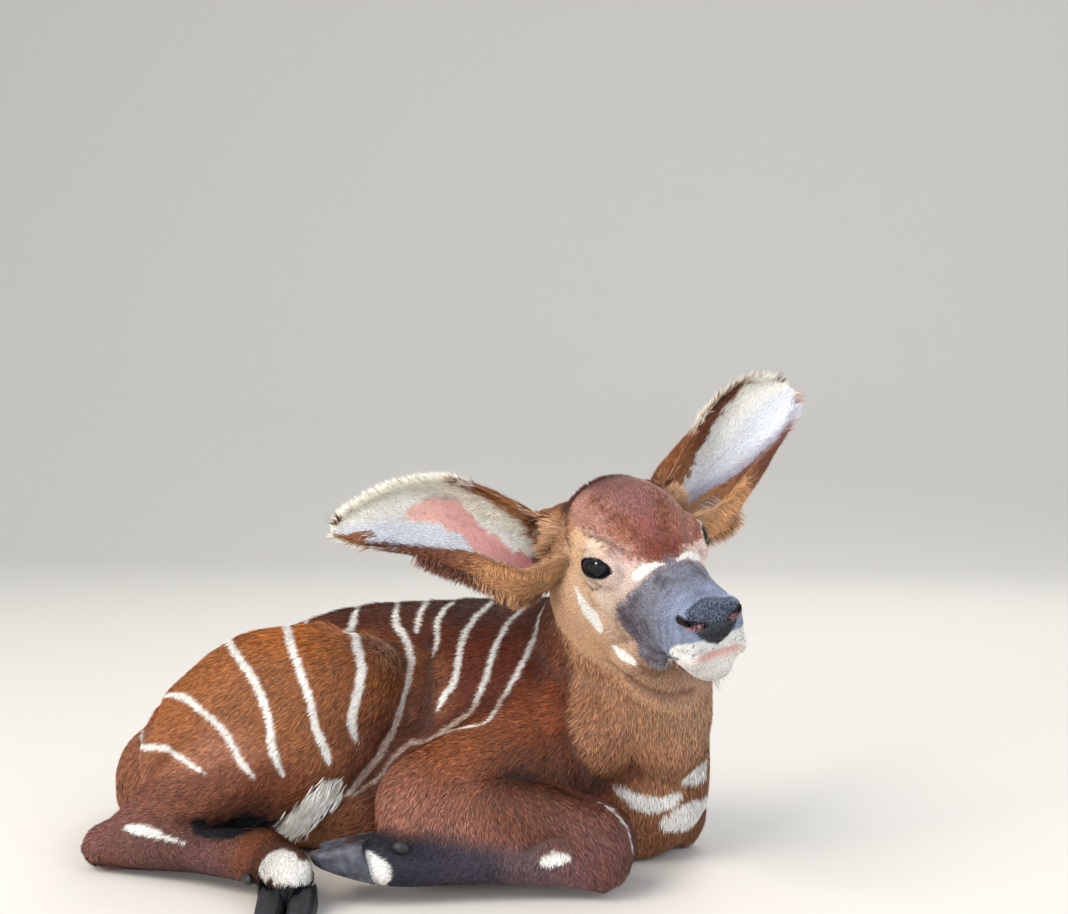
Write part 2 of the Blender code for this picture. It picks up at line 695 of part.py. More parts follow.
def ear(name, side, sections, tip, facing, head, cutters, nodes):
    """A cupped ear: an open sheet that curls most at its root, given its thickness."""
    root, length, ahead, facing, across = ear_axes(side, tip, facing)
    bm = bmesh.new()
    rows = []
    for share, shift, half, depth, rear, front in spline(sections, EAR_STEPS):
        middle = root + ahead * length * share + across * shift
        row = []
        for j in range(EAR_SIDES + 1):
            angle = math.radians(-rear + (rear + front) * j / EAR_SIDES)
            point = middle + across * half * math.sin(angle) - facing * depth * math.cos(angle)
            row.append(bm.verts.new(point))
        rows.append(row)
    for low, high in zip(rows, rows[1:]):
        for j in range(EAR_SIDES):
            bm.faces.new((low[j], low[j + 1], high[j + 1], high[j]))
    obj = new_object(bm, name, nodes)
    wall = obj.modifiers.new("wall", "SOLIDIFY")
    wall.thickness = EAR_THICKNESS
    wall.offset = 0.0
    settle(obj)
    closed = bmesh.new()
    closed.from_mesh(obj.data)
    bmesh.ops.recalc_face_normals(closed, faces=closed.faces)
    closed.to_mesh(obj.data)
    closed.free()
    boolean(obj, [grown(head, GAP, cutters)], "DIFFERENCE")
    keep_largest(obj)
    return obj


def mouth_groove(frame, cutters):
    """A thin tube along the line of the lips, from corner to corner round the nose."""
    rows = [row for row in spline(HEAD_STATIONS, 4) if row[0] >= MOUTH_CORNER]
    places = []
    for x, _, wide, low, half, square in rows:
        level = -MOUTH_DROP - MOUTH_SLOPE * (MOUTH_FRONT - x)
        share = min(1.0, max(0.0, (wide - level) / (wide - low)))
        places.append(Vector((x, half * (1 - share**square) ** (1 / square), level)))
    left = [(tuple(frame @ p), MOUTH_BORE, MOUTH_BORE) for p in places]
    right = [(tuple(frame @ Vector((p.x, -p.y, p.z))), MOUTH_BORE, MOUTH_BORE)
             for p in reversed(places)]
    front = Vector((places[-1].x + 0.0015, 0, places[-1].z))
    bm = bmesh.new()
    tube(bm, [*left, (tuple(frame @ front), MOUTH_BORE, MOUTH_BORE), *right], steps=1,
         up=frame.to_3x3() @ Vector((0, 0, 1)))
    obj = new_object(bm, "mouth_groove", cutters)
    remesh = obj.modifiers.new("one", "REMESH")
    remesh.mode = "VOXEL"
    remesh.voxel_size = 0.0008
    settle(obj)
    thin = obj.modifiers.new("thin", "DECIMATE")
    thin.ratio = 0.12
    settle(obj)
    return obj


def nostrils(frame, cutters):
    made = []
    (x, y, z), radii = NOSTRIL
    for side in (1, -1):
        turn = Matrix.Translation((x, y * side, z)) @ Matrix.Rotation(side * 0.75, 4, "Z")
        turn = frame @ turn @ Matrix.Rotation(0.35, 4, "Y") @ Matrix.Diagonal((*radii, 1.0))
        bm = bmesh.new()
        bmesh.ops.create_uvsphere(bm, u_segments=12, v_segments=8, radius=1.0, matrix=turn)
        made.append(new_object(bm, "nostril", cutters))
    return made


def eyeball(name, side, frame, nodes):
    bm = bmesh.new()
    centre = frame @ Vector((EYE.x, EYE.y * side, EYE.z))
    bmesh.ops.create_icosphere(bm, subdivisions=3, radius=EYE_RADIUS,
                               matrix=Matrix.Translation(centre))
    return new_object(bm, name, nodes)


def dress(obj, kind):
    """Gives a node its material and shading."""
    material = bpy.data.materials.get(kind)
    if material is None:
        material = bpy.data.materials.new(kind)
        material.use_nodes = True
        shader = material.node_tree.nodes["Principled BSDF"]
        colour, rough = COLOURS[kind]
        shader.inputs["Base Color"].default_value = (*colour, 1.0)
        shader.inputs["Roughness"].default_value = rough
    obj.data.materials.clear()
    obj.data.materials.append(material)
    obj.data.shade_smooth()
    obj.data.set_sharp_from_angle(angle=math.radians(50))


def build():
    clear_scene()
    nodes = new_collection("bongo_calf")
    cutters = new_collection("cutters")
    frame = head_frame()

    masses = bmesh.new()
    trunk_masses(masses)
    neck_masses(masses)
    head_masses(masses, frame)
    for leg in (FORE_RIGHT, FORE_LEFT):
        fore_masses(masses, leg)
    for leg in (HIND_RIGHT, HIND_LEFT):
        hind_masses(masses, leg)
    tube(masses, [(place, radius, radius) for place, radius in TAIL])
    rest = voxel_skin(masses, "torso", BODY_VOXEL, 12, BODY_TRIANGLES, nodes)

    masses = bmesh.new()
    neck_masses(masses)
    head_masses(masses, frame)
    head = voxel_skin(masses, "head", HEAD_VOXEL, 4, HEAD_TRIANGLES, nodes)

    ground = half_space("ground", Vector((0, 0, 0)), Vector((0, 0, -1)), cutters, 1.5)
    boolean(rest, [ground], "DIFFERENCE")

    above = half_space("above_neck", NECK_TOP, NECK_AXIS, cutters)
    boolean(head, [above], "INTERSECT")
    keep_largest(head)
    below = half_space("below_neck", NECK_TOP - NECK_AXIS.normalized() * GAP, NECK_AXIS, cutters)
    boolean(rest, [below], "DIFFERENCE")
    keep_largest(rest)

    eyes = [eyeball("eye_left", 1, frame, nodes), eyeball("eye_right", -1, frame, nodes)]
    boolean(head, [mouth_groove(frame, cutters), *nostrils(frame, cutters)], "DIFFERENCE")
    boolean(head, [grown(eye, GAP, cutters) for eye in eyes], "DIFFERENCE")
    boolean(head, [concha(1, *EAR_LEFT, cutters), concha(-1, *EAR_RIGHT, cutters)], "DIFFERENCE")
    keep_largest(head)
    ears = [ear("ear_left", 1, EAR_LEFT_SECTIONS, *EAR_LEFT, head, cutters, nodes),
            ear("ear_right", -1, EAR_RIGHT_SECTIONS, *EAR_RIGHT, head, cutters, nodes)]

    legs, horns = [], []
    for prefix, leg in (("fore_right", FORE_RIGHT), ("fore_left", FORE_LEFT)):
        flesh, horn = part_fore(prefix, leg, rest, cutters, nodes)
        legs += flesh
        horns += horn
    for prefix, leg in (("hind_right", HIND_RIGHT), ("hind_left", HIND_LEFT)):
        flesh, horn = part_hind(prefix, leg, rest, cutters, nodes)
        legs += flesh
        horns += horn
    for horn in horns:
        boolean(horn, [ground], "DIFFERENCE")

    tail_region = region_of("tail", cutters, *[
        (place, radius + 0.008, radius + 0.008) for place, radius in TAIL[1:]])
    tail = part_off("tail", rest, tail_region, cutters, nodes)
    neck_side = half_space("neck_side", NECK_ROOT, NECK_ROOT_AXIS, cutters)
    neck = part_off("neck", rest, neck_side, cutters, nodes)
    front = half_space("front", Vector((CHEST_CUT, 0, 0)), Vector((1, 0, 0)), cutters, 0.7)
    chest = part_off("chest", rest, front, cutters, nodes)
    back = half_space("back", Vector((RUMP_CUT, 0, 0)), Vector((-1, 0, 0)), cutters, 0.7)
    rump = part_off("rump", rest, back, cutters, nodes)
    rest.name = "belly"

    for node in (rest, chest, rump, neck, tail):
        dress(node, "coat")
    dress(head, "head_coat")
    for node in legs:
        dress(node, "leg_coat")
    for node in ears:
        dress(node, "ear")
    for node in eyes:
        dress(node, "eye")
    for node in horns:
        dress(node, "horn")
    for cutter in list(cutters.objects):
        remove(cutter)
    bpy.data.collections.remove(cutters)
    for node in nodes.objects:
        node.data.transform(Matrix.Translation(-ORIGIN))


build()
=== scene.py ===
"""The looks of a bongo antelope calf that lies with its legs folded and its head turned.

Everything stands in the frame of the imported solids, in metres, with +X towards the calf's
chest, +Y to its left and +Z up from the ground. One skin replaces the solids of flesh and
lies inside them by the depth of the coat. The coat is short tufts that follow the lie of the
hair. Skin and coat take their colours from the same markings.
"""

import logging
import math
from dataclasses import dataclass, field
from enum import Enum

import bmesh
import bpy
import numpy as np
from bpy.types import Material, Mesh, Node, NodeSocket, NodeTree, Object
from mathutils import Matrix, Vector
from mathutils.bvhtree import BVHTree


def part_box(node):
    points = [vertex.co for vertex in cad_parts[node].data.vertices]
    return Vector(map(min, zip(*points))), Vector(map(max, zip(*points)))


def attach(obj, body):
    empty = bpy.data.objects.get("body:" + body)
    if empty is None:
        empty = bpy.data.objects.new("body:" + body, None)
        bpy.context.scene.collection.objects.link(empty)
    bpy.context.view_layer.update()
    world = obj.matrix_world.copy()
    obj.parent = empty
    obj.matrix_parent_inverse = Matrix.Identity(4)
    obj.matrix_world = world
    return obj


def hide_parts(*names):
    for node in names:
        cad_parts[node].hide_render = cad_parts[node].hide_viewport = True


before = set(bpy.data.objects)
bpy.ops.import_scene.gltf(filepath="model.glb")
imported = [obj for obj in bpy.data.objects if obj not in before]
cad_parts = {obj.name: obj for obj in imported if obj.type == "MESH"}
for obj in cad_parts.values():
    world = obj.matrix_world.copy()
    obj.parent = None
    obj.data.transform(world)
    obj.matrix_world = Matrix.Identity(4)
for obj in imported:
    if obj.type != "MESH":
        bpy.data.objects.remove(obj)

LOG = logging.getLogger("calf")
MM = 0.001
SEED = 5078
ORIGIN = Vector((0.0307, -0.0225, 0.0))  # the frame's origin, in the numbers the forms are drawn in
MIDLINE = -ORIGIN.y  # y of the calf's spine in the frame
CREASE_SHADE = (0.58, 0.68, 0.72)  # painted shade: how much red, green and blue a deep fold takes off the coat


def linear(code: str) -> np.ndarray:
    """Turns an sRGB hex colour to linear light.

    Args:
        code: Six hex digits, with or without a leading hash.

    Returns:
        Red, green and blue.
    """
    code = code.lstrip("#")
    values = np.array([int(code[i : i + 2], 16) / 255 for i in (0, 2, 4)])
    return np.where(values <= 0.04045, values / 12.92, ((values + 0.055) / 1.055) ** 2.4)


def rgba(code: str) -> tuple[float, ...]:
    """Linear colour with full alpha, for a shader's socket."""
    return (*linear(code), 1.0)


def add_node(tree: NodeTree, kind: str, settings: dict | None = None,
             inputs: dict | None = None) -> Node:
    """Adds a shader node.

    Args:
        tree: The node tree.
        kind: The node's type, without its ShaderNode prefix.
        settings: Attributes of the node.
        inputs: Values or output sockets by input name or number.

    Returns:
        The new node.
    """
    made = tree.nodes.new("ShaderNode" + kind)
    for name, value in (settings or {}).items():
        setattr(made, name, value)
    for name, value in (inputs or {}).items():
        if isinstance(value, NodeSocket):
            tree.links.new(value, made.inputs[name])
        else:
            made.inputs[name].default_value = value
    return made


def new_material(name: str) -> tuple[Material, NodeTree, Node]:
    """An empty material with a Principled shader on its output.

    Args:
        name: The real finish's name.

    Returns:
        The material, its tree and the shader.
    """
    material = bpy.data.materials.new(name)
    material.use_nodes = True
    tree = material.node_tree
    tree.nodes.clear()
    shader = add_node(tree, "BsdfPrincipled")
    add_node(tree, "OutputMaterial", inputs={"Surface": shader.outputs["BSDF"]})
    return material, tree, shader


def soft_step(low: float, high: float, values: np.ndarray) -> np.ndarray:
    """A smooth step from 0 at low to 1 at high, which may also fall."""
    share = np.clip((values - low) / (high - low), 0.0, 1.0)
    return share * share * (3 - 2 * share)


def ripple(points: np.ndarray, size: float, seed: int) -> np.ndarray:
    """Smooth noise.

    Args:
        points: Places, one row each.
        size: Width of a bump in metres.
        seed: Picks one of the patterns.

    Returns:
        Values from about -1 to 1.
    """
    rng = np.random.default_rng(seed)
    total = np.zeros(len(points))
    for _ in range(7):
        way = rng.normal(size=3)
        way *= rng.uniform(0.6, 1.6) * math.pi / (size * np.linalg.norm(way))
        total += np.sin(points @ way + rng.uniform(0, 2 * math.pi))
    return total / 3.2


def graded(values: np.ndarray, stops: tuple) -> np.ndarray:
    """Linear colours between stops of (value, sRGB code)."""
    codes = np.array([linear(code) for _, code in stops])
    places = [place for place, _ in stops]
    return np.column_stack([np.interp(values, places, column) for column in codes.T])


def unit(rows: np.ndarray) -> np.ndarray:
    """Rows of vectors at length 1."""
    return rows / np.maximum(np.linalg.norm(rows, axis=1, keepdims=True), 1e-12)


def line_distance(points: np.ndarray, line: np.ndarray, reach: float) -> np.ndarray:
    """Distance to a bent line, and how far along it the nearest place is.

    Args:
        points: Places, one row each.
        line: The line's points.
        reach: Points further than this are left at 1 m.

    Returns:
        Two columns, distance and share of the line.
    """
    found = np.ones((len(points), 2))
    near = np.flatnonzero(np.all((points > line.min(0) - reach) & (points < line.max(0) + reach), axis=1))
    if not len(near):
        return found
    close = points[near]
    best = np.ones(len(near))
    share = np.zeros(len(near))
    for index in range(len(line) - 1):
        start, way = line[index], line[index + 1] - line[index]
        along = np.clip((close - start) @ way / max(way @ way, 1e-12), 0, 1)
        gap = np.linalg.norm(close - start - along[:, None] * way, axis=1)
        nearer = gap < best
        best[nearer] = gap[nearer]
        share[nearer] = (index + along[nearer]) / (len(line) - 1)
    found[near, 0] = best
    found[near, 1] = share
    return found


def spline(rows: tuple | np.ndarray, steps: int) -> np.ndarray:
    """Points on a smooth curve through rows of numbers.

    Args:
        rows: The rows that the curve goes through.
        steps: Points for each stretch.

    Returns:
        One row for each point.
    """
    rows = [np.array(row, float) for row in rows]
    rows = [2 * rows[0] - rows[1], *rows, 2 * rows[-1] - rows[-2]]
    found = []
    for a, b, c, d in zip(rows, rows[1:], rows[2:], rows[3:]):
        for t in np.arange(steps) / steps:
            bend = (2 * a - 5 * b + 4 * c - d) * t**2 + (3 * b - a - 3 * c + d) * t**3
            found.append(0.5 * (2 * b + (c - a) * t + bend))
    found.append(rows[-2])
    return np.array(found)


def object_from(bm: bmesh.types.BMesh, name: str) -> Object:
    """Makes an object of a bmesh, whose faces are triangles from then on, and frees it."""
    bmesh.ops.triangulate(bm, faces=bm.faces)
    mesh = bpy.data.meshes.new(name)
    bm.to_mesh(mesh)
    bm.free()
    made = bpy.data.objects.new(name, mesh)
    bpy.context.scene.collection.objects.link(made)
    return made


def settle(obj: Object) -> None:
    """Applies an object's modifiers."""
    bpy.context.view_layer.update()
    graph = bpy.context.evaluated_depsgraph_get()
    mesh = bpy.data.meshes.new_from_object(obj.evaluated_get(graph))
    obj.modifiers.clear()
    old = obj.data
    obj.data = mesh
    bpy.data.meshes.remove(old)


def modified(obj: Object, kind: str, **settings: object) -> Object:
    """Adds one modifier with its settings and applies it."""
    modifier = obj.modifiers.new(kind.lower(), kind)
    for name, value in settings.items():
        setattr(modifier, name, value)
    settle(obj)
    return obj


def combine(obj: Object, other: Object, operation: str) -> None:
    """One Boolean of closed meshes, after which the other object is removed."""
    modified(obj, "BOOLEAN", operation=operation, solver="MANIFOLD", object=other)
    bpy.data.objects.remove(other, do_unlink=True)


def half_space(point: Vector, normal: Vector, size: float = 1.2) -> Object:
    """A block that fills one side of a plane.

    Args:
        point: A point on the plane.
        normal: The side that is filled.
        size: The block's edge.

    Returns:
        The block.
    """
    turn = normal.normalized().to_track_quat("Z", "X").to_matrix().to_4x4()
    matrix = Matrix.Translation(point) @ turn @ Matrix.Translation((0, 0, size / 2))
    bm = bmesh.new()
    bmesh.ops.create_cube(bm, size=size, matrix=matrix)
    return object_from(bm, "half_space")


def keep_largest(obj: Object) -> None:
    """Drops every closed surface but the one with the most faces."""
    bm = bmesh.new()
    bm.from_mesh(obj.data)
    bm.faces.ensure_lookup_table()
    seen, shells = set(), []
    for face in bm.faces:
        if face.index in seen:
            continue
        seen.add(face.index)
        shell = [face]
        for item in shell:
            for edge in item.edges:
                for other in edge.link_faces:
                    if other.index not in seen:
                        seen.add(other.index)
                        shell.append(other)
        shells.append(shell)
    shells.sort(key=len)
    for shell in shells[:-1]:
        bmesh.ops.delete(bm, geom=shell, context="FACES")
    bm.to_mesh(obj.data)
    bm.free()


def put_in_order(obj: Object) -> None:
    """Rebuilds a mesh with its faces in a fixed order, which a Boolean's threads leave to chance."""
    mesh = obj.data
    rows, faces = [vert.co[:] for vert in mesh.vertices], []
    for face in mesh.polygons:
        corners = list(face.vertices)
        first = corners.index(min(corners))
        faces.append(corners[first:] + corners[:first])
    mesh.clear_geometry()
    mesh.from_pydata(rows, [], sorted(faces))
    mesh.update()


def vertex_rows(mesh: Mesh, what: str = "co") -> np.ndarray:
    """Places or normals of a mesh's vertices, one row each."""
    values = np.empty(len(mesh.vertices) * 3, np.float32)
    if what == "co":
        mesh.vertices.foreach_get("co", values)
    else:
        mesh.vertex_normals.foreach_get("vector", values)
    return values.reshape(-1, 3).astype(float)


def set_colours(mesh: Mesh, name: str, colours: np.ndarray) -> None:
    """Stores one linear colour for each vertex."""
    layer = mesh.color_attributes.new(name, "FLOAT_COLOR", "POINT")
    rows = np.ones((len(colours), 4), np.float32)
    rows[:, :3] = colours
    layer.data.foreach_set("color", rows.ravel())


def loft(bm: bmesh.types.BMesh, rings: list) -> None:
    """A closed tube through rings of points, which is turned to face out."""
    loops = []
    for ring in rings:
        verts = [bm.verts.new(point) for point in ring]
        loops.append([bm.edges.new(pair) for pair in zip(verts, verts[1:] + verts[:1])])
    faces = []
    for low, high in zip(loops, loops[1:]):
        faces += bmesh.ops.bridge_loops(bm, edges=low + high)["faces"]
    faces += bmesh.ops.edgenet_fill(bm, edges=loops[0])["faces"]
    faces += bmesh.ops.edgenet_fill(bm, edges=loops[-1])["faces"]
    bmesh.ops.recalc_face_normals(bm, faces=faces)


def oval(centre: Vector, side: Vector, up: Vector, size: tuple[float, float, float],
         square: float = 2.0, sides: int = 40) -> list[Vector]:
    """Points round a section.

    Args:
        centre: Its middle.
        side: The way across.
        up: The way up.
        size: Half its width, its rise above the middle and its drop below.
        square: 2 is an ellipse, and more is squarer.
        sides: Number of points.

    Returns:
        The points.
    """
    half, rise, drop = size
    ring = []
    for index in range(sides):
        c = math.cos(2 * math.pi * index / sides)
        s = math.sin(2 * math.pi * index / sides)
        across = half * math.copysign(abs(c) ** (2 / square), c)
        height = (rise if s > 0 else drop) * math.copysign(abs(s) ** (2 / square), s)
        ring.append(centre + side * across + up * height)
    return ring


def ball(bm: bmesh.types.BMesh, matrix: Matrix, radii: tuple) -> None:
    """An ellipsoid whose own frame is the matrix."""
    placed = matrix @ Matrix.Diagonal((*radii, 1.0))
    made = bmesh.ops.create_uvsphere(bm, u_segments=32, v_segments=20, radius=1.0, matrix=placed)
    if placed.determinant() < 0:
        bmesh.ops.reverse_faces(bm, faces=list({face for vert in made["verts"] for face in vert.link_faces}))


def bent_tube(bm: bmesh.types.BMesh, rows: np.ndarray, up: Vector, sides: int = 32,
              round_ends: bool = True) -> None:
    """A tube along rows of (x, y, z, half width, half depth)."""
    places = [Vector(row[:3]) for row in rows]
    rings = []
    for index, row in enumerate(rows):
        ahead = places[min(index + 1, len(rows) - 1)] - places[max(index - 1, 0)]
        side = up.cross(ahead).normalized()
        above = ahead.normalized().cross(side)
        rings.append(oval(places[index], side, above, (row[3], row[4], row[4]), sides=sides))
    loft(bm, rings)
    for row in (rows[0], rows[-1]) if round_ends else ():
        radius = min(row[3], row[4])
        ball(bm, Matrix.Translation(row[:3]), (radius, radius, radius))


class Part(Enum):
    """Parts of the body that differ in the length of their hair."""

    TRUNK = 0
    NECK = 1
    HEAD = 2
    EAR = 3
    THIGH = 4
    ARM = 5
    SHANK = 6
    CANNON = 7
    FOOT = 8
    TAIL = 9

    @staticmethod
    def of(node: str) -> "Part":
        """The part that a node of the solids belongs to."""
        names = {"neck": Part.NECK, "head": Part.HEAD, "ear_": Part.EAR, "thigh": Part.THIGH,
                 "arm": Part.ARM, "shank": Part.SHANK, "meta": Part.CANNON,
                 "pastern": Part.FOOT, "tail": Part.TAIL}
        for word, part in names.items():
            if word in node:
                return part
        return Part.TRUNK


@dataclass(frozen=True)
class Hair:
    """Short hair on one part: length and width of a tuft, its lift and tufts to a square mm."""

    length: float
    width: float
    lift: float
    density: float
    depth: float  # how far the skin lies under the solids


HAIR = {
    Part.TRUNK: Hair(7.0, 0.82, 0.22, 0.62, 2.0),
    Part.NECK: Hair(5.6, 0.72, 0.26, 0.88, 1.6),
    Part.HEAD: Hair(3.4, 0.52, 0.22, 2.30, 0.9),
    Part.EAR: Hair(5.0, 0.52, 0.24, 1.45, 0.3),
    Part.THIGH: Hair(6.8, 0.80, 0.22, 0.68, 2.0),
    Part.ARM: Hair(6.4, 0.80, 0.22, 0.74, 1.8),
    Part.SHANK: Hair(6.0, 0.75, 0.24, 0.85, 1.4),
    Part.CANNON: Hair(4.4, 0.60, 0.22, 1.30, 1.0),
    Part.FOOT: Hair(4.2, 0.58, 0.24, 1.50, 0.9),
    Part.TAIL: Hair(10.0, 0.80, 0.26, 0.80, 1.5),
}


@dataclass(frozen=True)
class PhotoCamera:
    """The photograph's viewpoint: level, near the ground, in front of the calf's right side."""

    place: tuple[float, float, float] = (0.3423, -1.1760, 0.33)
    azimuth: float = math.radians(12)
    focal_px: float = 1450.0
    width_px: int = 1068
    sensor_mm: float = 36.0

    def build(self) -> None:
        """Makes the camera and gives it to the scene."""
        data = bpy.data.cameras.new("photo_camera")
        data.sensor_width = self.sensor_mm
        data.lens = self.focal_px / self.width_px * self.sensor_mm
        data.clip_end = 50.0
        camera = bpy.data.objects.new("photo_camera", data)
        camera.location = self.place
        camera.rotation_euler = (math.radians(90), 0.0, self.azimuth)
        bpy.context.scene.collection.objects.link(camera)
        bpy.context.scene.camera = camera


@dataclass(frozen=True)
class Mass:
    """A rounded mass of the head, in mm of its frame. One off the middle has a mirror image."""

    place: tuple[float, float, float]
    radii: tuple[float, float, float]


@dataclass
class HeadForm:
    """The head, drawn in its own frame: x along the face to the nose, y left, z to the crown."""

    place: Vector = field(default_factory=lambda: Vector((0.2125, -0.0900, 0.2600)) - ORIGIN)
    turn: float = math.radians(-55)
    nod: float = math.radians(18)
    roll: float = math.radians(15)
    voxel: float = 0.0016
    # x, y, z and radius in mm
    nostril_line: tuple = ((140, 9.5, 0, 2.1), (139.5, 13.5, 0.5, 2.4), (137.5, 17.5, 2, 2.2),
                           (133.5, 21.5, 3.5, 1.7),
                           (127, 24, 4, 1.0))
    # x, top, widest height, underside, half width, squareness
    stations: tuple = (
        (-0.062, 0.020, -0.005, -0.038, 0.022, 2.0),
        (-0.050, 0.037, -0.003, -0.060, 0.037, 2.1),
        (-0.026, 0.050, 0.000, -0.076, 0.047, 2.1),
        (0.004, 0.054, 0.003, -0.082, 0.0485, 2.0),
        (0.028, 0.047, 0.006, -0.081, 0.0450, 2.0),
        (0.050, 0.032, 0.000, -0.075, 0.0375, 2.0),
        (0.072, 0.021, -0.010, -0.062, 0.0320, 2.1),
        (0.094, 0.016, -0.014, -0.050, 0.0290, 2.3),
        (0.115, 0.013, -0.014, -0.047, 0.0285, 2.5),
        (0.130, 0.009, -0.013, -0.045, 0.0255, 2.6),
        (0.139, 0.001, -0.013, -0.036, 0.0175, 2.3),
    )
    eye: Vector = field(default_factory=lambda: Vector((0.0308, 0.0356, 0.010)))
    eye_radius: float = 0.0150
    lid_thickness: float = 0.0014
    opening: tuple[float, float, float] = (0.0140, 0.0073, 0.0073)  # half length, rise, drop
    masses: tuple = (
        Mass((30, 35, 24), (19, 8, 6.5)),  # brow
        Mass((36, 33, 9), (23, 13.5, 17)),  # rim of the eye's socket
        Mass((6, 29, -44), (40, 18, 32)),  # cheek
        Mass((-32, 34, 0), (31, 27, 35)),  # temple
        Mass((55, 19, -55), (33, 12, 13)),  # front of the jaw
        Mass((30, 24, -66), (36, 14, 18)),  # back of the jaw
        Mass((110, 17, -27), (32, 12, 10)),  # lip
        Mass((117, 0, -41), (24, 18, 11)),  # chin
        Mass((131, 0, -1), (11, 20, 14)),  # nose pad
        Mass((128, 16.5, 0), (11, 8, 10)),  # wing of the nostril
        Mass((-30, 44, 8), (18, 18, 18)),  # root of the ear
        Mass((-40, 48, 20), (15, 13, 11)),  # fur between the ear and the crown
        Mass((-36, 54, 15), (13, 11, 14)),  # fur before the ear's root
    )
    neck: tuple = (
        (0.178, -0.014, 0.165, 0.060, 0.070),
        (0.202, -0.050, 0.205, 0.054, 0.062),
        (0.201, -0.078, 0.240, 0.048, 0.055),
        (0.198, -0.088, 0.262, 0.041, 0.045),
    )
    throat: tuple = ((0.231, -0.062, 0.166, 0.038, 0.040), (0.232, -0.050, 0.145, 0.042, 0.043),
                     (0.230, -0.036, 0.112, 0.042, 0.042))

    def matrix(self) -> Matrix:
        """Takes head coordinates to the frame's."""
        turn = (Matrix.Rotation(self.turn, 4, "Z") @ Matrix.Rotation(self.nod, 4, "Y")
                @ Matrix.Rotation(self.roll, 4, "X"))
        return Matrix.Translation(self.place) @ turn

    def inside(self, points: np.ndarray) -> np.ndarray:
        """Places of the frame in head coordinates."""
        inverse = np.array(self.matrix().inverted())
        return points @ inverse[:3, :3].T + inverse[:3, 3]

    def eye_matrix(self, side: int) -> Matrix:
        """One eye's own frame, within the head's: x to its front corner, y up, z out of the socket."""
        outward = Vector((0.60, side * 0.77, 0.21)).normalized()
        ahead = Vector((0.80, -side * 0.60, 0.015))
        ahead = (ahead - outward * ahead.dot(outward)).normalized()
        above = ahead.cross(outward) * side
        centre = Vector((self.eye.x, self.eye.y * side, self.eye.z))
        return Matrix.Translation(centre) @ Matrix((ahead, above, outward)).transposed().to_4x4()

    def lid_share(self, along: np.ndarray, above: np.ndarray) -> np.ndarray:
        """How far a place is out from the eye's middle, where 1 is the edge of the lids.

        Args:
            along: Distances to the front corner's side.
            above: Distances above the middle.

        Returns:
            The shares.
        """
        tall = np.where(above > 0, self.opening[1], self.opening[2])
        drawn = self.opening[0] * (1 + 0.10 * (along > 0))
        return (np.abs(along) / drawn) ** 1.9 + (np.abs(above) / tall) ** 1.6

    def lid_cutter(self, side: int) -> Object:
        """The almond that the lids leave open, flared outwards."""
        placed = self.matrix() @ self.eye_matrix(side)
        wide, high, low = self.opening
        rings = []
        for out, size in ((0.003, 0.93), (0.010, 0.97), (0.0150, 1.02), (0.019, 1.15), (0.034, 1.9)):
            ring = []
            for index in range(48):
                c, s = math.cos(math.tau * index / 48), math.sin(math.tau * index / 48)
                across = wide * (1 + 0.10 * (c > 0)) * math.copysign(abs(c) ** (2 / 1.9), c)
                up = (high if s > 0 else low) * math.copysign(abs(s) ** (2 / 1.6), s)
                ring.append(placed @ Vector((across * size, (up - 0.0012 * max(0.0, c) ** 4) * size, out)))
            rings.append(ring)
        bm = bmesh.new()
        loft(bm, rings)
        return object_from(bm, "lid_cutter")

    def mouth(self) -> Object:
        """The cutter for the line between the lips, from corner to corner round the nose."""
        frame_matrix = self.matrix()
        half = []
        for row in spline(self.stations, 4):
            x, _, wide, low, width, square = row
            if x < 0.090:
                continue
            level = -0.0205 - 0.45 * (0.141 - x)
            share = min(1.0, max(0.0, (wide - level) / (wide - low)))
            half.append(Vector((x, width * (1 - share**square) ** (1 / square), level)))
        front = Vector((half[-1].x + 0.0015, 0, half[-1].z))
        line = [*half, front, *[Vector((p.x, -p.y, p.z)) for p in reversed(half)]]
        rows = np.array([(*(frame_matrix @ p), 0.0011, 0.0013) for p in line])
        bm = bmesh.new()
        bent_tube(bm, rows, frame_matrix.to_3x3() @ Vector((0, 0, 1)), sides=8)
        made = object_from(bm, "mouth")
        modified(made, "REMESH", mode="VOXEL", voxel_size=0.0007)
        return made

    def nostril(self, side: int) -> Object:
        """The cutter for one nostril: a comma that starts wide by the nose pad and curls up behind."""
        rows = []
        for x, y, z, radius in spline(self.nostril_line, 5) * MM:
            rows.append((*(self.matrix() @ Vector((x, y * side, z))), radius * 1.25, radius))
        bm = bmesh.new()
        bent_tube(bm, np.array(rows), self.matrix().to_3x3() @ Vector((0.3, 0, 1)), sides=16)
        made = object_from(bm, "nostril")
        modified(made, "REMESH", mode="VOXEL", voxel_size=0.0006)
        return made

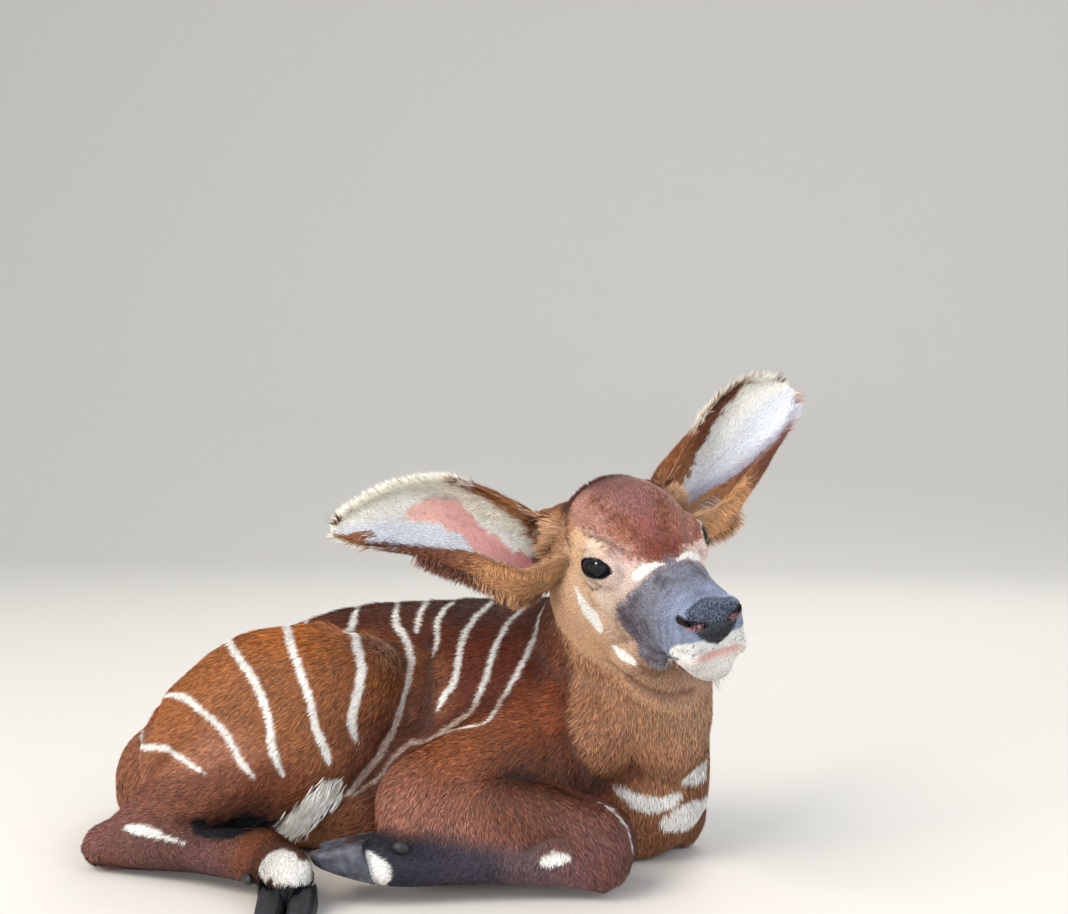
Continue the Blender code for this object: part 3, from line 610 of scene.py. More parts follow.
    def build(self) -> Object:
        """One closed surface of the head and the top of the neck."""
        frame_matrix = self.matrix()
        bm = bmesh.new()
        rings = []
        for x, top, wide, low, half, square in spline(self.stations, 5):
            ring = oval(Vector((x, 0, wide)), Vector((0, 1, 0)), Vector((0, 0, 1)),
                        (half, top - wide, wide - low), square)
            rings.append([frame_matrix @ point for point in ring])
        loft(bm, rings)
        for mass in self.masses:
            for side in (1, -1) if mass.place[1] else (1,):
                middle = Vector(mass.place) * MM
                middle.y *= side
                ball(bm, frame_matrix @ Matrix.Translation(middle), tuple(r * MM for r in mass.radii))
        for side in (1, -1):
            lids = self.eye_radius + self.lid_thickness
            ball(bm, frame_matrix @ self.eye_matrix(side), (lids, lids, lids))
        neck = np.array(self.neck)
        neck[:, :3] -= np.array(ORIGIN)
        bent_tube(bm, spline(neck, 5), Vector((1, 0, 0.25)))
        throat = np.array(self.throat)
        throat[:, :3] -= np.array(ORIGIN)
        bent_tube(bm, spline(throat, 5), Vector((1, 0, 0.25)))
        head = object_from(bm, "head_form")
        modified(head, "REMESH", mode="VOXEL", voxel_size=self.voxel)
        modified(head, "SMOOTH", factor=0.5, iterations=7)
        return head

    def open_up(self, head: Object) -> None:
        """Cuts the mouth's line, the nostrils and the seats of the eyes."""
        combine(head, self.mouth(), "DIFFERENCE")
        for side in (1, -1):
            combine(head, self.nostril(side), "DIFFERENCE")
            combine(head, self.lid_cutter(side), "DIFFERENCE")
            bm = bmesh.new()
            radius = self.eye_radius - 0.0003
            ball(bm, self.matrix() @ self.eye_matrix(side), (radius, radius, radius))
            combine(head, object_from(bm, "eye_seat"), "DIFFERENCE")


@dataclass(frozen=True)
class EarMarks:
    """Edges of the colours inside an ear, each as (share of its length, place across)."""

    pink_rear: tuple
    pink_front: tuple
    brown_rear: tuple
    brown_front: tuple

    @staticmethod
    def at(edge: tuple, share: np.ndarray) -> np.ndarray:
        """Where an edge lies across the ear at each share of its length."""
        return np.interp(share, [row[0] for row in edge], [row[1] for row in edge])


@dataclass
class EarForm:
    """One cupped ear: an open sheet that curls most at its root."""

    name: str
    side: int
    tip: Vector
    facing: Vector
    sections: tuple  # share, shift to the front rim, half width, depth, rear and front degrees
    marks: "EarMarks"
    thickness: float = 0.0017
    across_steps: int = 44
    along_steps: int = 6
    concha: tuple[float, float, float] = (0.030, 0.017, 0.015)

    def axes(self, head: HeadForm) -> tuple[Vector, float, Vector, Vector, Vector]:
        """Where the ear starts, its length, and the ways along, out of its cup and across.

        Args:
            head: The head that carries it.

        Returns:
            Root, length, ahead, facing, across.
        """
        root = head.matrix() @ Vector((-0.030, 0.044 * self.side, 0.008))
        ahead = (self.tip - root).normalized()
        facing = (self.facing - ahead * self.facing.dot(ahead)).normalized()
        return root, (self.tip - root).length, ahead, facing, ahead.cross(facing) * self.side

    def inside(self, head: HeadForm, points: np.ndarray, normals: np.ndarray) -> np.ndarray:
        """Where points lie on the ear.

        Args:
            head: The head that carries it.
            points: Places, one row each.
            normals: The surface's normals there.

        Returns:
            Columns: share of the length, place across from -1 at the rear rim to 1 at the
            front rim, and 1 inside the cup or 0 on its back.
        """
        root, length, ahead, facing, across = self.axes(head)
        away = points - np.array(root)
        share = away @ np.array(ahead) / length
        rows = np.array(self.sections)
        shift = np.interp(share, rows[:, 0], rows[:, 1])
        half = np.interp(share, rows[:, 0], rows[:, 2])
        wide = (away @ np.array(across) - shift) / half
        middle = np.outer(share * length, ahead) + np.outer(shift, across)
        depth = np.interp(share, rows[:, 0], rows[:, 3])
        middle += np.outer(depth * 0.35, facing)
        inward = np.einsum("ij,ij->i", middle - away, normals)
        return np.column_stack([share, wide, inward > 0])

    def build(self, head: HeadForm) -> Object:
        """The ear as a closed thin wall."""
        root, length, ahead, facing, across = self.axes(head)
        table = spline(self.sections, self.along_steps)
        bm = bmesh.new()
        bmesh.ops.create_grid(bm, x_segments=self.across_steps, y_segments=len(table) - 1, size=0.5)
        for vert in bm.verts:
            share, shift, half, depth, rear, front = table[round((vert.co.y + 0.5) * (len(table) - 1))]
            angle = math.radians(-rear + (rear + front) * (vert.co.x + 0.5))
            ridge = 0.0009 * math.sin(angle * 5 + share * 3) * min(1.0, (1 - share) * 3) * half / 0.04
            place = root + ahead * length * share + across * (shift + half * math.sin(angle))
            vert.co = place - facing * (depth * math.cos(angle) - ridge)
        made = object_from(bm, self.name)
        modified(made, "SOLIDIFY", thickness=self.thickness, offset=0.0)
        fixed = bmesh.new()
        fixed.from_mesh(made.data)
        bmesh.ops.recalc_face_normals(fixed, faces=fixed.faces)
        fixed.to_mesh(made.data)
        fixed.free()
        return made

    def place(self, head: HeadForm, share: float, turn: float) -> Vector:
        """A place on the sheet, with its turn from -1 at the rear rim to 1 at the front rim."""
        root, length, ahead, facing, across = self.axes(head)
        rows = np.array(self.sections)
        shift, half, depth, rear, front = (np.interp(share, rows[:, 0], rows[:, k]) for k in range(1, 6))
        angle = math.radians(-rear + (rear + front) * (turn + 1) / 2)
        return (root + ahead * length * share + across * (shift + half * math.sin(angle))
                - facing * depth * math.cos(angle))

    def hollow(self, head: HeadForm) -> Object:
        """The cutter for the hollow that the cup ends in."""
        root, _, ahead, facing, across = self.axes(head)
        axes = Matrix((ahead, across, facing)).transposed().to_4x4()
        middle = root + ahead * self.concha[0] * 1.05 + facing * self.concha[2] * 0.25
        bm = bmesh.new()
        ball(bm, Matrix.Translation(middle) @ axes, self.concha)
        return object_from(bm, "hollow")


RIGHT_EAR = EarForm(
    "ear_right", -1, Vector((0.005, -0.176, 0.276)) - ORIGIN, Vector((0.20, -0.93, 0.45)),
    (
        (0.000, 0.008, 0.0255, 0.023, 132, 152),
        (0.100, 0.012, 0.0290, 0.023, 118, 148),
        (0.200, 0.012, 0.0385, 0.023, 107, 145),
        (0.310, 0.003, 0.0405, 0.021, 100, 142),
        (0.430, -0.006, 0.0380, 0.018, 96, 138),
        (0.540, -0.010, 0.0345, 0.014, 92, 130),
        (0.650, -0.012, 0.0290, 0.010, 90, 118),
        (0.760, -0.010, 0.0240, 0.007, 88, 108),
        (0.875, -0.005, 0.0165, 0.004, 85, 98),
        (0.960, -0.001, 0.0085, 0.002, 82, 88),
        (1.000, 0.001, 0.0040, 0.001, 80, 82),
    ),
    EarMarks(
        ((0.04, -0.05), (0.10, -0.13), (0.15, -0.30), (0.22, -0.38), (0.29, -0.42), (0.345, -0.48),
         (0.37, -0.72),
         (0.48, -0.77), (0.57, -0.72), (0.64, -0.56), (0.70, -0.30), (0.74, -0.10)),
        ((0.04, 0.10), (0.10, 0.30), (0.20, 0.35), (0.30, 0.30), (0.39, 0.12), (0.46, -0.04), (0.53, -0.12),
         (0.60, -0.08), (0.67, -0.04), (0.74, -0.10)),
        ((0.00, -0.20), (0.05, -0.40), (0.09, -0.62), (0.13, -0.82), (0.19, -0.88), (0.26, -0.91),
         (0.35, -0.945),
         (0.43, -0.975), (0.50, -1.10)),
        ((0.00, 0.60), (0.30, 0.60), (0.46, 0.50), (0.53, 0.52), (0.63, 0.68), (0.72, 0.78), (0.79, 0.62),
         (0.83, 0.15), (0.90, 0.25), (0.95, 0.50), (0.99, 1.10)),
    ),
)
LEFT_EAR = EarForm(
    "ear_left", 1, Vector((0.325, 0.060, 0.391)) - ORIGIN, Vector((0.30, -0.92, 0.10)),
    (
        (0.000, 0.005, 0.0280, 0.024, 136, 156),
        (0.100, 0.009, 0.0325, 0.023, 130, 152),
        (0.200, 0.010, 0.0350, 0.022, 122, 150),
        (0.340, 0.007, 0.0345, 0.020, 114, 146),
        (0.510, 0.004, 0.0340, 0.017, 104, 140),
        (0.660, 0.001, 0.0320, 0.012, 95, 128),
        (0.790, 0.000, 0.0285, 0.008, 90, 114),
        (0.870, 0.001, 0.0240, 0.006, 88, 104),
        (0.940, 0.003, 0.0165, 0.003, 85, 94),
        (1.000, 0.004, 0.0070, 0.001, 80, 82),
    ),
    EarMarks(
        ((0.04, -0.10), (0.20, -0.12), (0.26, 0.00)),
        ((0.04, 0.10), (0.20, 0.02), (0.26, 0.00)),
        ((0.00, -0.10), (0.15, -0.20), (0.24, -0.27), (0.30, -0.31), (0.40, -0.40), (0.55, -0.62),
         (0.75, -0.85),
         (0.90, -1.10)),
        ((0.00, 0.05), (0.20, 0.12), (0.29, 0.22), (0.36, 0.34), (0.42, 0.48), (0.50, 0.62), (0.60, 0.74),
         (0.80, 0.95), (0.90, 1.10)),
    ),
)
EARS = (RIGHT_EAR, LEFT_EAR)


@dataclass(frozen=True)
class Tone:
    """A colour at a place in mm, which the coat shades to, and how far it reaches."""

    place: tuple[float, float, float]
    colour: str
    reach: float = 40.0


# Ground colours of each part. Places are x, distance from the midline and z.
BODY_TONES = {
    Part.TRUNK: (
        Tone((120, 0, 205), "#3b190d"), Tone((40, 0, 207), "#3b190d"), Tone((-50, 0, 200), "#471f0e"),
        Tone((-150, 0, 170), "#7d3c1c"), Tone((-230, 0, 110), "#8a4522"), Tone((-270, 20, 60), "#8f5132"),
        Tone((90, 85, 150), "#5a2918"), Tone((30, 95, 140), "#5e2b1a"), Tone((100, 85, 90), "#74422e"),
        Tone((0, 95, 80), "#6f3c28"), Tone((170, 50, 120), "#7c4428"), Tone((200, 30, 60), "#b07a4a"),
        Tone((210, 20, 90), "#b27c4e"), Tone((150, 75, 50), "#7e4a30"), Tone((-100, 80, 20), "#9a6a4c"),
    ),
    Part.NECK: (
        Tone((200, 20, 120), "#b08060"), Tone((190, 60, 200), "#a87c5c"), Tone((120, 30, 205), "#4a2013"),
        Tone((110, 30, 180), "#592a1a"), Tone((130, 50, 170), "#70402a"), Tone((150, 60, 230), "#95684c"),
        Tone((130, 20, 240), "#5e3320", 30), Tone((220, 0, 160), "#b48c6c"), Tone((150, 40, 130), "#7e4c34"),
    ),
    Part.THIGH: (
        Tone((-80, 80, 185), "#a65f26"), Tone((-170, 90, 130), "#8c552c"), Tone((-90, 125, 130), "#80502e"),
        Tone((-30, 110, 150), "#744422"), Tone((-10, 105, 110), "#6c4230"), Tone((-230, 80, 70), "#86563e"),
        Tone((-120, 125, 80), "#9c6850"), Tone((-50, 90, 60), "#7c4e36"),
    ),
    Part.ARM: (
        Tone((110, 100, 110), "#7c4228"), Tone((50, 115, 100), "#80492a"), Tone((20, 120, 60), "#8c5e4e"),
        Tone((60, 135, 40), "#885a4c"), Tone((110, 130, 60), "#643a2a"), Tone((120, 130, 95), "#52301e"),
        Tone((160, 120, 75), "#5e382c"), Tone((160, 130, 40), "#66433e"), Tone((150, 100, 20), "#5a3d3a"),
        # these two are painted shade in the hollow under the forearm's ridge
        Tone((110, 134, 86), "#3c1f16", 22), Tone((132, 128, 80), "#43261b", 20),
    ),
    Part.SHANK: (
        Tone((-60, 110, 70), "#78452e"), Tone((-160, 130, 50), "#6e4230"), Tone((-230, 130, 25), "#6e4640"),
        Tone((-120, 90, 40), "#3a2620", 30),
    ),
    Part.CANNON: (
        Tone((-220, 130, 20), "#5e3d36"), Tone((-150, 145, 28), "#5e3d36"), Tone((-90, 165, 30), "#6c4434"),
        Tone((-120, 145, 10), "#70505a"), Tone((30, 165, 30), "#2b2c38"), Tone((70, 160, 30), "#3b3440"),
        Tone((120, 140, 30), "#5a4448"), Tone((150, 130, 30), "#6e4a4c"),
    ),
    Part.FOOT: (
        Tone((-85, 170, 40), "#7c452c", 20), Tone((-70, 185, 15), "#2c2524", 14),
        Tone((-45, 190, 55), "#6a4434", 18),
        Tone((20, 160, 30), "#24252f", 30), Tone((-40, 170, 30), "#4a342c", 20),
    ),
    Part.TAIL: (
        Tone((-230, 10, 100), "#8a4522"), Tone((-280, 40, 50), "#743a20"), Tone((-270, 90, 15), "#4a2a1c"),
        Tone((-230, 120, 12), "#2a1c18"),
    ),
    Part.EAR: (Tone((100, 100, 280), "#7a4426"),),
}
# The neck's front, which meets the shoulder's darker coat along a fold
NECK_TONES = (
    Tone((200, 20, 215), "#b69274"), Tone((175, 45, 215), "#ae8666"), Tone((215, 15, 170), "#ba9a80"),
    Tone((160, 45, 175), "#a3785a"), Tone((200, 25, 130), "#b28c6e"), Tone((150, 50, 130), "#96684c"),
    Tone((195, 25, 85), "#8a5e44"), Tone((215, 10, 40), "#7e5236"), Tone((160, 45, 80), "#885a3c"),
)
FOLD_LINE = ((60, 69, 83, 104, 122, 142, 163, 187, 215, 240, 262),
             (172, 166, 152, 144, 137, 133, 131, 130, 126, 118, 108))
# Ground colours of the head. Places are in its own frame, with y from the middle.
FOREHEAD_TONES = (
    Tone((-30, 0, 50), "#4d2c2a", 22), Tone((-8, 0, 54), "#6d4642", 20), Tone((20, 0, 50), "#7e5450", 20),
    Tone((45, 0, 37), "#86504a", 14), Tone((64, 0, 27), "#6f3526", 12), Tone((38, 20, 36), "#94624f", 12),
    # painted sheen: the paler mauve at the forehead's sides, over its brown hair
    Tone((15, 28, 42), "#9a7064", 14), Tone((-15, 32, 40), "#9c7466", 16),
)
FACE_TONES = (
    Tone((28, 40, 24), "#f0d4bd", 10), Tone((52, 32, 14), "#dcc4ba", 9), Tone((50, 26, 20), "#c8a294", 8),
    Tone((10, 46, 14), "#dab48f", 12), Tone((34, 44, -12), "#e2ccba", 14), Tone((55, 33, -4), "#d8c2b4", 10),
    Tone((15, 46, -20), "#ceab8c", 16), Tone((-15, 46, -25), "#cba17e", 20),
    Tone((-30, 44, 20), "#9c6c4a", 16),
    Tone((-38, 36, 32), "#6a402b", 14), Tone((-45, 20, 30), "#5e3423", 22),
    Tone((0, 30, -62), "#bf9877", 22), Tone((45, 32, -45), "#ba9c86", 14),
    Tone((-55, 10, -20), "#a4745a", 22), Tone((70, 15, -72), "#8e6c58", 14),
)


@dataclass(frozen=True)
class Stripe:
    """A white line of the coat through places in mm, with its width at the middle."""

    line: tuple
    width: float = 6.0


STRIPES = (
    Stripe(((-246, 0, 78), (-222, -62, 88), (-190, -98, 96), (-165, -118, 93), (-142, -127, 84)), 4.6),
    Stripe(((-205, -60, 128), (-181, -87, 137), (-154, -105, 128), (-127, -121, 114), (-115, -125, 97),
            (-104, -121, 82)), 5.6),
    Stripe(((-160, 22, 166), (-152, -45, 170), (-133, -82, 170), (-110, -108, 156), (-94, -118, 131),
            (-89, -122, 107), (-83, -113, 83)), 6.2),
    Stripe(((-112, 22, 188), (-99, -60, 187), (-76, -92, 170), (-60, -119, 147), (-55, -118, 123),
            (-49, -113, 105), (-48, -107, 91)), 6.6),
    Stripe(((-66, 22, 199), (-52, -45, 195), (-39, -76, 184), (-21, -108, 167), (-21, -117, 146),
            (-26, -114, 128), (-25, -104, 109)), 6.8),
    Stripe(((-30, 22, 203), (-18, -28, 194), (-2, -49, 182), (6, -64, 164), (5, -80, 141), (-4, -82, 113),
            (-17, -84, 91), (-31, -82, 74), (-42, -81, 61)), 5.6),
    Stripe(((-4, 22, 207), (-1, -15, 201), (4, -42, 188)), 4.6),
    Stripe(((21, 22, 208), (18, -24, 198), (20, -43, 187), (21, -56, 174)), 4.6),
    Stripe(((55, 22, 208), (54, -6, 207), (47, -31, 196), (43, -49, 181), (43, -61, 163), (41, -67, 149),
            (34, -71, 142), (29, -75, 131)), 5.0),
    Stripe(((87, 22, 208), (86, -6, 208), (77, -31, 195), (71, -49, 178), (68, -60, 160), (62, -67, 141),
            (58, -71, 131), (50, -74, 124), (38, -78, 116), (18, -80, 109)), 4.2),
    Stripe(((114, -12, 208), (104, -33, 191), (97, -48, 175), (89, -59, 155), (81, -65, 140), (74, -85, 127),
              (65, -89, 124), (45, -82, 117), (11, -81, 106), (-16, -81, 77), (-37, -81, 61)), 3.6),
    Stripe(((165, -108, 72), (177, -111, 66), (184, -112, 58), (189, -111, 46), (190, -108, 36)), 1.8),
)


@dataclass(frozen=True)
class Patch:
    """A marking along a line of (x, y, z, radius) in mm, in one plain colour."""

    line: tuple
    colour: str
    edge: float = 1.2
    both_sides: bool = True


WHITE = "#e9e6e0"
BLACK = "#17171d"
BODY_PATCHES = (
    # these three: black hair beside the fan, deepened as painted shade of the crevice between thigh and shank
    Patch(((-149, -100, 38, 6), (-132, -82, 34, 10), (-112, -80, 36, 8)), BLACK, 1.6),
    Patch(((-152, -124, 40, 4), (-140, -128, 42, 8), (-124, -136, 44, 9), (-108, -140, 45, 7)), BLACK, 1.6),
    Patch(((-150, -126, 36, 4), (-138, -134, 38, 8), (-122, -142, 38, 8), (-108, -147, 39, 7),
           (-96, -148, 40, 5)), BLACK, 1.6),
    Patch(((-49, -90, 74, 4), (-60, -90, 62, 7), (-74, -84, 50, 9.5), (-88, -72, 38, 12), (-98, -64, 30, 13)),
          "#fbf6ea", 1.6),
    Patch(((-206, -131, 40, 2), (-196, -133, 40, 4.6), (-184, -136, 39, 4), (-170, -140, 37, 2.2),
           (-150, -146, 34, 0.8)),
          WHITE),
    Patch(((128, -132, 33, 3.4), (136, -130, 35, 5.2), (143, -129, 36, 3.6)), WHITE),
    Patch(((167, -43, 69, 2.6), (175, -38, 63, 4.4), (185, -33, 57, 6.4), (197, -29, 54, 7),
           (207, -25, 55, 6),
           (214, -21, 59, 4)), WHITE, 1.2, False),
    Patch(((220, -16, 73, 5.5), (228, -6, 76, 8), (234, 6, 77, 8)), WHITE, 1.2, False),
    Patch(((206, -18, 38, 8), (214, -10, 41, 13), (222, 2, 42, 13), (230, 14, 42, 12)), WHITE, 1.2, False),
    Patch(((137, -34, 282, 9), (134, -18, 250, 11), (128, 10, 215, 13), (108, 40, 188, 18),
           (80, 30, 200, 22)),
          "#5b3120", 16.0, False),
    Patch(((-70, -188, 20, 5), (-58, -190, 8, 8), (-40, -200, 8, 10), (-22, -196, 20, 8)), BLACK, 2.0),
    Patch(((-64, -190, 30, 7), (-54, -192, 36, 12), (-44, -196, 30, 14), (-32, -194, 32, 10)), WHITE, 1.4),
    Patch(((-14, -166, 41, 4), (-4, -166, 36, 8), (5, -167, 32, 9.5), (13, -168, 28, 9), (13, -165, 20, 6)),
          WHITE, 1.4),
)
HEAD_PATCHES = (
    Patch(((67, 25, 12.5, 4.2), (68.5, 20, 15.5, 5.0), (71, 13.5, 17.2, 3.4), (73.5, 8.5, 18.6, 1.9),
           (75, 5, 19.2, 0.7)),
          WHITE, 1.0),
    Patch(((11, 51, -14, 0.9), (15, 50, -22, 2.8), (18, 47, -31, 4.8), (22, 45, -37, 6.2),
           (27, 43, -42, 5.6)),
          WHITE, 0.8),
    Patch(((38, 37, -58, 2.4), (47, 34, -61, 4.0), (58, 31, -62, 3.0)), WHITE, 0.8),
    Patch(((12, 40, 28, 0.8), (20, 38, 29, 1.5), (35, 33, 30, 2.0), (45, 26, 25, 1.8), (55, 23, 20, 1.3)),
          "#7a5850", 2.6),
    Patch(((-2, 47, 15, 0.6), (-11, 45, 22, 1.0), (-19, 42, 29, 1.6), (-23, 41, 31, 2.0), (-34, 31, 34, 2.4),
           (-33, 18, 43, 2.6), (-30, 3, 48, 2.2)), "#4a2a20", 5.0),
    Patch(((49, 36, 12.5, 1.2), (52, 35.5, 13, 0.5)), "#2a1c1a", 0.8),
    # painted shade along the crease under the eye
    Patch(((16, 47, -9, 0.3), (25, 45, -12, 0.6), (36, 44, -7, 0.5), (43, 42, 1, 0.3)), "#8d6a58", 2.0),
    Patch(((53, 34, -21, 3.0), (61, 33, -26, 4.0), (66, 32, -33, 3)), "#453e48", 8.0),
    Patch(((77, 14, 16, 1.8), (84, 15, 13, 2.0), (98, 15, 11, 1.0)), "#4c4852", 5.0),
    Patch(((68, 29, -52, 1.5), (82, 28, -50, 2.0), (92, 26, -46, 1.6)), "#4d3c42", 4.0),
    Patch(((107, 22, -43, 4.0), (100, 20, -48, 5.0), (92, 15, -52, 4.0)), "#ddd6c8", 1.6),
    Patch(((-4, 24, 46, 2.5), (16, 23, 45, 3.0), (31, 18, 41, 3.0), (43, 12, 34, 2.6), (55, 7, 27, 1.5)),
          "#6a3a2a", 8.0),
    Patch(((120, 27, -25, 2.8), (131, 24, -19.5, 5.2), (138, 15, -17, 5.6), (141, 6, -17, 4.6),
           (141, 0, -18.5, 3.2)),
          "#eeece8", 0.8),
)


@dataclass(frozen=True)
class Fold:
    """A crease of the skin through places in mm, with its depth, its half width and the painted shade it gives
    skin and coat.
    """

    line: tuple
    depth: float = 2.5
    width: float = 5.0
    shade: float = 0.6
    both_sides: bool = True


FOLDS = (
    Fold(((131, -64, 187), (132, -56, 163), (134, -71, 142), (138, -84, 122), (145, -83, 104), (153, -67, 83),
          (167, -43, 69)), 3.6, 6.0, 0.8),
    Fold(((111, -46, 184), (109, -51, 161), (112, -71, 141), (122, -89, 121), (132, -91, 99), (144, -70, 76)),
         1.5, 6.0, 0.3),
    Fold(((80, -122, 92), (91, -117, 93), (104, -112, 92), (123, -105, 88), (135, -105, 83), (148, -105, 78),
          (164, -110, 72)), 4.2, 7.0, 0.9, False),
    Fold(((112, -135, 36), (118, -134, 44), (128, -132, 50), (140, -130, 52), (152, -127, 50)), 2.6, 4.5,
         0.8, False),
    Fold(((10, -32, 192), (17, -46, 182), (21, -56, 171), (24, -66, 157), (25, -72, 140), (23, -76, 122),
          (20, -78, 108),
          (10, -82, 92)), 4.5, 7.0, 1.0),
)
# The same on the head, in its own frame: throat, jaw, lids and brow
HEAD_FOLDS = (
    Fold(((30, -30, -86), (35, -26, -89), (42, -21, -94), (49, -12, -99), (53, -2, -103), (54, 15, -105),
          (48, 30, -107)),
         2.8, 4.5, 1.0, False),
    Fold(((28, -43, 22), (42, -39, 27), (49, -35, 23), (55, -30, 17)), 0.7, 1.8, 0.5),
    Fold(((55, -34, 18), (58, -32, 13), (61, -31, 7)), 0.6, 2.2, 0.3),
    Fold(((18, -47, -8), (27, -44, -11), (38, -43, -6), (43, -40, 1)), 0.7, 1.8, 0.35),
    Fold(((26, -47, -14), (37, -45, -16), (47, -41, -10)), 0.5, 2.0, 0.2),
)


class Markings:
    """Colours of the coat at any place on it, for the skin and the tufts alike."""

    def __init__(self, head: HeadForm, tree: BVHTree) -> None:
        """Lays the stripes on the skin.

        Args:
            head: The head's form, for its own frame.
            tree: The skin, which each stripe is drawn to.
        """
        self.head = head
        self.stripes = []
        for stripe in STRIPES:
            rows = spline(stripe.line, 4) * MM
            for mirrored in (False, True):
                line = rows.copy()
                if mirrored:
                    line[:, 1] = 2 * MIDLINE - line[:, 1]
                self.stripes.append((self.on_skin(line, tree), stripe.width * MM))
        self.patches = []
        for patch in BODY_PATCHES:
            rows = spline(patch.line, 3) * MM
            for mirrored in (False, True)[: 1 + patch.both_sides]:
                line = rows.copy()
                if mirrored:
                    line[:, 1] = 2 * MIDLINE - line[:, 1]
                line[:, :3] = self.on_skin(line[:, :3], tree)
                self.patches.append((line, linear(patch.colour), patch.edge * MM))
        self.head_patches = []
        matrix = np.array(head.matrix())
        for patch in HEAD_PATCHES:
            line = spline(patch.line, 3) * MM
            placed = (line[:, :3] * np.array((1, -1, 1))) @ matrix[:3, :3].T + matrix[:3, 3]
            line[:, :3] = head.inside(self.on_skin(placed, tree))
            line[:, 1] = np.abs(line[:, 1])
            self.head_patches.append((line, linear(patch.colour), patch.edge * MM))

    @staticmethod
    def on_skin(line: np.ndarray, tree: BVHTree) -> np.ndarray:
        """Moves each point of a line to the nearest place on the skin."""
        return np.array([tuple(tree.find_nearest(Vector(row))[0]) for row in line])

    @staticmethod
    def shade(points: np.ndarray, tones: tuple) -> np.ndarray:
        """Blends tones by their distance.

        Args:
            points: Places in metres.
            tones: The tones.

        Returns:
            Linear colours.
        """
        total = np.full(len(points), 1e-9)
        colours = np.zeros((len(points), 3))
        for tone in tones:
            gap = np.linalg.norm(points - np.array(tone.place) * MM, axis=1) / (tone.reach * MM)
            weight = 1 / (0.03 + gap**4)
            total += weight
            colours += weight[:, None] * linear(tone.colour)
        return colours / total[:, None]

    @staticmethod
    def mix(colours: np.ndarray, other: np.ndarray, share: np.ndarray) -> np.ndarray:
        """Blends one set of colours into another by a share for each row."""
        return colours * (1 - share)[:, None] + other * share[:, None]

    @staticmethod
    def patch_cover(points: np.ndarray, line: np.ndarray, edge: float, rough: np.ndarray) -> np.ndarray:
        """How much of a patch covers each point, with a ragged edge."""
        found = line_distance(points, line[:, :3], 0.03)
        radius = np.interp(found[:, 1], np.linspace(0, 1, len(line)), line[:, 3])
        return soft_step(1.0, -1.0, (found[:, 0] - radius + rough * edge * 0.8) / edge)

    def head_colours(self, points: np.ndarray, rough: np.ndarray) -> tuple[np.ndarray, np.ndarray]:
        """The head's colours.

        Args:
            points: Places in the frame.
            rough: Noise for the edges.

        Returns:
            Linear colours, and how wet each place is.
        """
        local = self.head.inside(points)
        folded = local.copy()
        folded[:, 1] = np.abs(folded[:, 1])
        x, y, z = (folded / MM).T
        colours = self.shade(folded, FACE_TONES)
        brow = np.interp(x, (-30, -5, 12, 28, 37, 47, 55, 61, 70), (36, 29, 30, 31, 30, 26, 22, 20, 18))
        brow = brow - 6 * soft_step(0.0, 0.02, local[:, 1]) * soft_step(62, 50, x)
        red = soft_step(-2.5, 2.5, z - brow + rough * 2.5) * soft_step(-34, -26, x)
        colours = self.mix(colours, self.shade(folded, FOREHEAD_TONES), red)
        edge = np.interp(z, (-75, -62, -52, -40, -30, -16, 4, 14, 20), (100, 92, 66, 50, 45, 53, 70, 75, 75))
        edge = edge - 5 * soft_step(7, 2, y) * soft_step(4, 12, z)
        slate = soft_step(-6, 6, x - edge + rough * 4)
        grey = graded(x, ((50, "#675f67"), (68, "#6f6b76"), (90, "#787a89"), (115, "#7f88a0"),
                          (135, "#8892ac")))
        grey = grey * (1 - 0.25 * soft_step(12, 0, y) * soft_step(70, 110, x))[:, None]
        blotch = 1 - 0.32 * soft_step(0.0, 0.8, ripple(folded, 0.011, 31)) * soft_step(114, 88, x)
        grey = grey * (blotch * (1 + 0.16 * ripple(folded, 0.005, 32)))[:, None]
        colours = self.mix(colours, grey, slate)
        lips = -20.5 - 0.45 * (141 - x)
        # painted shade along the line of the mouth, near its corner
        corner = soft_step(7, 3, np.abs(z - lips + 1)) * soft_step(88, 94, x) * soft_step(118, 106, x)
        colours = self.mix(colours, linear("#2e2a30")[None, :], corner * 0.45)
        chin = soft_step(0.6, -0.8, z - lips + rough * 0.5) * soft_step(103, 112, x + rough * 3)
        # painted shade: the chin's white darker on its underside
        pale = linear("#e8e2dc") * (1 - 0.35 * soft_step(-14, -30, z - lips))[:, None]
        colours = self.mix(colours, pale, chin)
        under = soft_step(-10, -16, z - lips + rough * 2) * soft_step(84, 94, x) * soft_step(112, 104, x)
        colours = self.mix(colours, linear("#cbb9a2")[None, :], under)
        pink = chin * soft_step(-9, -3, z - lips + rough) * soft_step(24, 12, y)
        colours = self.mix(colours, linear("#deb0a6")[None, :], pink)
        for line, colour, edge in self.head_patches:
            cover = self.patch_cover(folded, line, edge, rough)
            colours = self.mix(colours, colour[None, :], cover)
        dots = ripple(folded, 0.0023, 41) * ripple(folded, 0.0027, 42)
        band = soft_step(8, 5, np.abs(z - lips - 4)) * soft_step(112, 120, x)
        colours = self.mix(colours, linear("#3a3336")[None, :], band * soft_step(0.34, 0.52, dots) * 0.55)
        across = np.interp(z, (-18, -14, -8, 0, 5, 12), (0, 8, 14, 19, 20.5, 18))
        wet = soft_step(1.2, -1.2, y - across) * soft_step(-1, 1,
                                                           x - np.interp(y, (0, 10, 20), (122, 125, 131)))
        wet = wet * soft_step(-19, -17, z)
